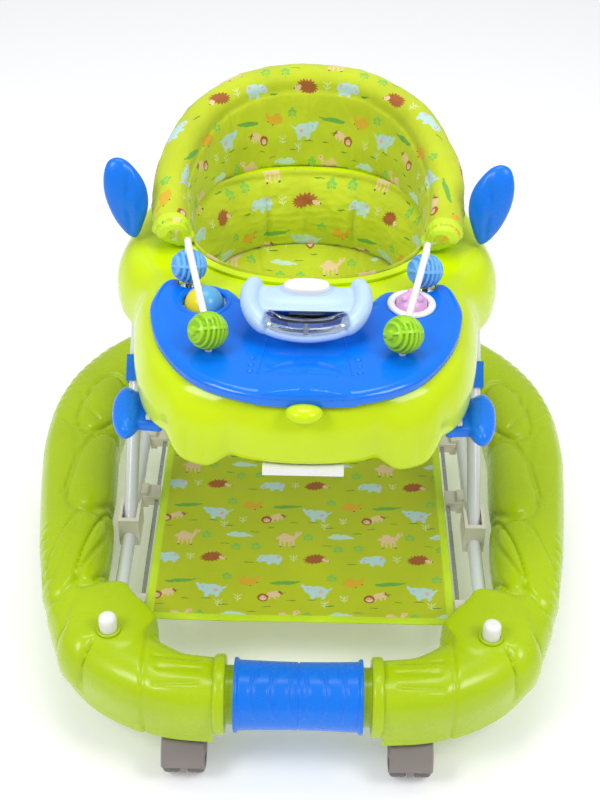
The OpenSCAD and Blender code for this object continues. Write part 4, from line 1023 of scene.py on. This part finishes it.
for s_, nm in ((-1, "left"), (1, "right")):
    # outline of the ear seen from the front, then a lens thickness in depth
    E = [(192, 441), (180, 464), (176, 484), (180, 505), (194, 525), (207, 532), (219, 527), (224.5, 508), (222, 484), (210, 457)]
    EO = resample(cr(E, 12, True), 120, True)
    lay = []
    cx, cz = 202, 488
    for k in np.linspace(-1, 1, 25):
        q = math.sqrt(max(0, 1 - abs(k) ** 2.2)) ** 0.9
        q = max(q, 0.02)
        zz = cz + (EO[:, 1] - cz) * q; xx = cx + (EO[:, 0] - cx) * q
        th_ = 12.5
        yy = 50 + (zz - 488) * 0.16 + k * th_
        # a crease down the front face
        if k < 0: yy = yy + 2.6 * np.exp(-((xx - 196) / 3.0) ** 2) * abs(k) * 0.9
        lay.append(np.stack([s_ * xx, yy, zz], 1))
    v, f_ = loft(lay)
    o = obj("ear_" + nm, v, f_, M_BLUE2, "tray", rep=("ears",), slot="blue_plastic")
    voxel(o, 1.5, 5)
    # latch: egg pad, a neck and a stepped body
    pad = resample(cr([[-196, -128], [-187, -127], [-177, -137], [-171, -156], [-171, -178], [-176, -194], [-184, -202], [-193, -198], [-200, -182], [-203, -160], [-202, -142]], 12, True), 140, True)
    pad = np.c_[-pad[:, 0] * s_, pad[:, 1]] if s_ > 0 else pad
    zs = [(6, 348.5), (2.5, 349.6), (0.6, 352), (0, 355.5), (0.5, 359), (2.4, 362), (5.6, 364.4), (10, 366), (16, 366.9)]
    tri = resample(cr([[-171, -133], [-168, -148], [-159, -160], [-152, -171], [-148, -183], [-150, -189], [-160, -188], [-172, -187], [-184, -184], [-186, -146], [-177, -132]], 8, True), 120, True)
    tri = np.c_[-tri[:, 0] * s_, tri[:, 1]] if s_ > 0 else tri
    pad[:, 0] -= 4 * s_; tri[:, 0] -= 3 * s_
    v, f_ = join([solid_from_outline(pad, zs), rounded_slab(tri, 350, 361.5, 2.6)])
    o = obj("latch_%s_paddle" % nm, v, f_, M_BLUE2, "latch_l" if s_ < 0 else "latch_r", rep=("latch_" + nm,), slot="blue_plastic")
    voxel(o, 1.2, 4)

# ------------------------------------------------------------------ foot mat
MX, MY0, MY1 = 175.5, -209.0, 150.0


def mat_height(x, y):
    z = 95.6 + 0.5 * math.sin(x / 34.0 + 0.6) * math.sin(y / 47.0) + 0.5 * mnoise.noise(Vector((x / 60, y / 45, 1.3)))
    z -= 1.1 * math.cos(x / MX * math.pi / 2) ** 2
    e_ = min(MX - abs(x), y - MY0, MY1 - y)
    return z + 0.45 * math.exp(-((e_ - 11) / 2.2) ** 2) + 0.15 * mnoise.noise(Vector((x / 6, y / 6, 4)))


nx, ny = 150, 154
V = [(x, y, mat_height(x, y)) for y in np.linspace(MY0 + 1.5, MY1 - 1.5, ny) for x in np.linspace(-MX + 1.5, MX - 1.5, nx)]
F = grid_faces(ny, nx, False, False)
mat_o = obj("foot_mat_cloth", V, F, M_MAT, "base", rep=("foot_mat",), slot="mat_fabric")
mod(mat_o, "SOLIDIFY", thickness=0.0012, offset=0); apply_mods(mat_o)
# satin binding folded over the edge
per = []
c_ = 5.0
for (ax0, ay0, ax1, ay1) in ((-MX + c_, MY0 + c_, MX - c_, MY0 + c_), (MX - c_, MY0 + c_, MX - c_, MY1 - c_), (MX - c_, MY1 - c_, -MX + c_, MY1 - c_), (-MX + c_, MY1 - c_, -MX + c_, MY0 + c_)):
    m = 130
    per += [(ax0 + (ax1 - ax0) * i / m, ay0 + (ay1 - ay0) * i / m) for i in range(m)]
per = np.array(per); M_ = len(per)
tt = np.roll(per, -3, 0) - np.roll(per, 3, 0); tt /= np.linalg.norm(tt, axis=1)[:, None]
nn = np.stack([-tt[:, 1], tt[:, 0]], 1)
rings = []
for i in range(M_):
    x, y = per[i]; rg = []
    wob = 0.5 * mnoise.noise(Vector((x / 9, y / 9, 7)))
    for a_ in np.linspace(0, 2 * math.pi, 20, endpoint=False):
        w_, h_ = 4.9 * spow(math.cos(a_), 0.55), (1.55 + 0.35 * mnoise.noise(Vector((x / 4, y / 4, math.cos(a_))))) * spow(math.sin(a_), 0.7)
        rg.append((x + nn[i, 0] * (w_ + wob * 0.3), y + nn[i, 1] * (w_ + wob * 0.3), mat_height(x, y) + h_))
    rings.append(rg)
v, f_ = loft(rings, wrap=True)
bind = obj("foot_mat_binding", v, f_, M_BIND, "base", slot="mat_fabric")

# ------------------------------------------------------------------ seat: padded back roll
BR = [[149, 30, 458], [154, 66, 470], [152, 120, 491], [124, 190, 517], [70, 234, 533], [0, 247, 538]]
BF = BR + [[-x, y, z] for x, y, z in BR[-2::-1]]
RP = resample(cr(BF, 30), 340)
tt = np.gradient(RP[:, :2], axis=0); tt /= np.linalg.norm(tt, axis=1)[:, None]
NI = np.stack([-tt[:, 1], tt[:, 0]], 1)                   # towards the child
S_ = np.r_[0, np.cumsum(np.linalg.norm(np.diff(RP, axis=0), axis=1))]; S_ -= S_[-1] / 2


def nz(x, y, z, s=1.0): return mnoise.noise(Vector((x / s, y / s, z / s)))


def back_section(i):
    p = RP[i]; k = (p[2] - 444) / 94
    Pn = NI[i]; B = p[:2] + Pn * (14 + 14 * k); zb = 442.6
    pts = []
    for (o_, bl, zo) in ((-8 - 2 * k, 0, 1), (-12, 0.25, 0), (-16, 0.55, 0), (-18.6, 0.82, 0), (-19.6, 1, 0), (-18.2, 1, 7), (-14, 1, 13), (-7.6, 1, 17), (0, 1, 18.4),
                         (8, 1, 17), (14, 1, 12.6), (17.8, 1, 6), (18.8, 1, -2), (17.6, 0.84, 0), (15.2, 0.62, 0), (13.0, 0.4, 0), (9.6, 0.2, 0), (6, 0.03, 0), (0, -0.03, 0)):
        c = B + (p[:2] - B) * bl + Pn * o_
        pts.append((c[0], c[1], zb + (p[2] - zb) * bl + zo))
    return np.array(pts)


SEC = 96
rings = []; uvs = []
for i in range(len(RP)):
    q = resample(cr(back_section(i), 8, True), SEC, True)
    c0 = q.mean(0); d = q - c0; L = np.linalg.norm(d, axis=1)[:, None]; dn = d / (L + 1e-6)
    arc = np.r_[0, np.cumsum(np.linalg.norm(np.diff(q, axis=0), axis=1))]
    amp = np.zeros(SEC)
    for j in range(SEC):
        s1, v1 = S_[i], arc[j]
        a_ = 1.5 * nz(s1, v1, 3.0, 46) + 0.9 * nz(s1 * 1.6, v1 * 0.7, 9.0, 19)
        # gathers running across the roll near its lower inner seam
        low_ = max(0.0, 1 - abs(q[j, 2] - 452) / 34)
        a_ += 1.5 * low_ * nz(s1 * 2.6, v1 * 0.35, 21.0, 14)
        a_ += 0.5 * nz(s1 * 1.2, v1 * 2.0, 30.0, 9)
        amp[j] = a_
    # seam lines along the roll
    z_rel = q[:, 2] - RP[i, 2]
    side_ = (d[:, :2] @ NI[i])
    seam = np.exp(-((z_rel + 4) / 1.7) ** 2) * (side_ > 0)
    amp -= 2.2 * seam
    amp += 0.9 * np.exp(-((z_rel + 12) / 7) ** 2) * (side_ > 0) * (0.5 + nz(S_[i], 0, 2, 6))
    # pulled-in stitch at three places round the back
    for xs in (-118, 0, 118):
        amp -= 1.4 * math.exp(-((S_[i] - xs) / 2.6) ** 2) * (side_ > 0) * sstep(z_rel, -2, -10)
    q = q + dn * amp[:, None]
    rings.append(q)
    vv = arc.copy(); vv = arc[-1] - vv
    uvs.append(np.stack([np.full(SEC, S_[i]) + 500, vv + 300], 1))
# rounded ends
R_ = np.array(rings)
def end_cap(r, dirn, n=8):
    c = r.mean(0); out = []
    for k in range(1, n + 1):
        t = k / n * math.pi / 2
        out.append(c + (r - c) * (math.cos(t) * 0.9 + 0.1 if k < n else 0.05) + dirn * 11 * math.sin(t))
    return out
d0 = np.array([-(tt[0][0]), -(tt[0][1]), -0.15]); d1 = np.array([tt[-1][0], tt[-1][1], -0.15])
R_ = np.array(end_cap(R_[0], d0)[::-1] + list(R_) + end_cap(R_[-1], d1))
UV = np.concatenate([np.repeat([uvs[0]], 8, 0), np.array(uvs), np.repeat([uvs[-1]], 8, 0)])
v, f_ = loft(R_, caps=True)
uv_all = np.vstack([UV.reshape(-1, 2), UV[0, :1], UV[-1, :1]])
back = obj("seat_back_cushion", v, f_, M_SEAT, "tray", rep=("seat_back",), slot="print_fabric", uv=uv_all)

# crumpled satin at the two ends of the roll
ends = []
for e_, (idx, dr) in enumerate(((0, d0), (len(rings) - 1, d1))):
    r = rings[idx]; c = r.mean(0); rg = []
    for k in range(26):
        t = k / 25
        sc_ = 1.035 + 0.03 * math.sin(t * 7) - 0.40 * max(0, t - 0.45) ** 1.0
        row = []
        for j in range(SEC):
            a_ = 0.030 * nz(j * 2.1, k * 1.2, 5 + e_ * 9, 5.5) + 0.02 * nz(j * 3.3, k * 3.0, 8 + e_ * 5, 4)
            pt = c + (r[j] - c) * (sc_ + a_) + dr * (t * 17 - 7)
            row.append(pt)
        rg.append(row)
    ends.append(loft(rg, caps=True))
v, f_ = join(ends)
obj("seat_end_binding", v, f_, M_BIND, "tray", slot="print_fabric")

# ------------------------------------------------------------------ seat: lining and hanging bucket
NA = 300
ang = np.linspace(-math.pi / 2, 1.5 * math.pi, NA, endpoint=False)
backness = sstep(np.sin(ang), -0.45, 0.05)               # 1 round the back, 0 at the front edge
prof_s = [(137, 119, 443.5), (134.5, 117, 442), (131.5, 114.3, 437), (130, 113, 431), (129.4, 112, 422), (128.6, 111, 410), (127.4, 109.4, 396), (125.6, 107, 382), (123, 103.6, 368),
          (119.4, 99, 356), (115, 94, 348), (108, 88, 342), (98, 80, 338), (84, 68, 335), (66, 54, 333), (44, 36, 331.6), (22, 18, 331), (2, 2, 331)]
PS = resample(cr(prof_s, 12), 150)
rows_, uvr = [], []
XS = (-54, -2, 60)
for r in PS:
    a_, b_, z_ = r
    x = a_ * spow(np.cos(ang), 0.92); y = 84 + b_ * spow(np.sin(ang), 0.92); z = np.full(NA, z_)
    wall = sstep(z_, 344, 352)
    # the top edge: under the cushion at the back, folded on the rim at the front
    inn = np.stack([-np.cos(ang), -np.sin(ang)], 1)
    lum = backness * sstep(np.sin(ang), 0.0, 0.45)
    bulge = 17 * math.sin(math.pi * min(max((z_ - 350) / 84.0, 0), 1)) ** 0.75 if 350 < z_ < 434 else 0
    dd = bulge * lum
    for xs in XS:
        dd = dd - lum * (5.2 if 352 < z_ < 432 else 0) * np.exp(-((x - xs) / 3.0) ** 2) * (bulge / 17)
    dd = dd - 1.5 * math.exp(-((z_ - 437) / 2.4) ** 2) * backness
    dd = dd - 4.0 * math.exp(-((z_ - 350) / 3.0) ** 2) * lum
    wr = np.array([1.8 * nz(x[j] * 1.0, y[j], z_ * 1.5, 34) + 1.0 * nz(x[j] * 1.4, y[j] * 1.4, z_ * 2.8, 15) + 0.5 * nz(x[j] * 2, y[j] * 2, z_ * 5, 9) for j in range(NA)])
    # folds fanning out of the tuck between back and seat
    fan = np.array([1.6 * nz(ang[j] * 60, z_ * 0.15, 3, 9) for j in range(NA)]) * math.exp(-((z_ - 356) / 18) ** 2)
    dd = dd + wr * (0.4 + 0.6 * wall) + fan
    x = x + inn[:, 0] * dd * wall; y = y + inn[:, 1] * dd * wall
    # seat bottom: a soft pad rising to the back, with cross stitching
    bot = 1 - wall
    if bot > 0:
        z = z + bot * (wr * 1.1 + 9.0 * sstep(y, 60, 176) + 5.0 * sstep(y, 40, -30))
        z = z - bot * 1.6 * np.exp(-((y - 118 - 0.0012 * x ** 2) / 2.6) ** 2)
        for xs in (-56, 58):
            z = z - bot * 1.6 * np.exp(-((x - xs * (0.7 + 0.3 * (y - 40) / 100)) / 2.4) ** 2)
    rows_.append(np.stack([x, y, z], 1))
    if wall > 0.5: uvr.append(np.stack([-ang * 122 + 700, np.full(NA, z_)], 1))
    else: uvr.append(np.stack([x + 320, y + 170], 1))
v, f_ = loft(rows_, caps=False)
# close the middle
v = np.vstack([v, np.mean(rows_[-1], 0)]); m_ = len(rows_)
f_ = f_ + [((m_ - 1) * NA + k, (m_ - 1) * NA + (k + 1) % NA, len(v) - 1) for k in range(NA)]
uv_all = np.vstack([np.array(uvr).reshape(-1, 2), uvr[-1][:1]])
sling = obj("seat_sling_cloth", v, f_, M_SEAT, "tray", rep=("seat_sling",), slot="print_fabric", uv=uv_all)
bm = bmesh.new(); bm.from_mesh(sling.data)
kill = []
for f in bm.faces:
    c = np.array(f.calc_center_median()) * 1000
    for s_ in (-1, 1):
        Mi = (T3(s_ * 46, -22, 345) @ Rx(-62)).inverted()
        l = Mi @ Vector(c)
        if math.hypot(l.x, l.y) < 32 and abs(l.z) < 60 and c[1] < 40: kill.append(f); break
bmesh.ops.delete(bm, geom=kill, context="FACES"); bm.to_mesh(sling.data); bm.free()
mod(sling, "SOLIDIFY", thickness=0.0032, offset=-1); apply_mods(sling)
shade_auto(sling, 60)
# hem round the leg openings
parts = []
for s_ in (-1, 1):
    pth = []
    for t in np.linspace(0, 2 * math.pi, 90, endpoint=False):
        lx, ly = 32.6 * math.cos(t), 32.6 * math.sin(t)
        best = None
        M = T3(s_ * 46, -22, 345) @ Rx(-62)
        o_ = np.array(M @ Vector((lx, ly, 0))); dv = np.array((M.to_3x3() @ Vector((0, 0, 1))))
        # walk along the cylinder until it meets the bucket
        for h in np.linspace(-58, 58, 117):
            p = o_ + dv * h
            rr_ = math.hypot(p[0] / 127.0, (p[1] - 84) / 109.0)
            f1 = rr_ - np.interp(p[2], [331, 333, 338, 342, 348, 368, 396, 440], [0.03, 0.5, 0.76, 0.85, 0.9, 0.96, 1.0, 1.02])
            if best is None or abs(f1) < best[0]: best = (abs(f1), p)
        pth.append(best[1])
    pth = np.array(pth)
    for _ in range(4): pth = (np.roll(pth, 1, 0) + pth * 2 + np.roll(pth, -1, 0)) / 4
    Tn = np.roll(pth, -1, 0) - np.roll(pth, 1, 0); Tn /= np.linalg.norm(Tn, axis=1)[:, None] + 1e-9
    cc = pth.mean(0); rings_h = []
    for i in range(len(pth)):
        u = pth[i] - cc; u -= Tn[i] * u.dot(Tn[i]); u /= np.linalg.norm(u) + 1e-9; w_ = np.cross(Tn[i], u)
        rings_h.append([pth[i] + 3.0 * (math.cos(a_) * u + math.sin(a_) * w_) for a_ in np.linspace(0, 2 * math.pi, 14, endpoint=False)])
    parts.append(loft(rings_h, wrap=True))
v, f_ = join(parts)
obj("leg_opening_hems", v, f_, M_BIND, "tray", slot="print_fabric")
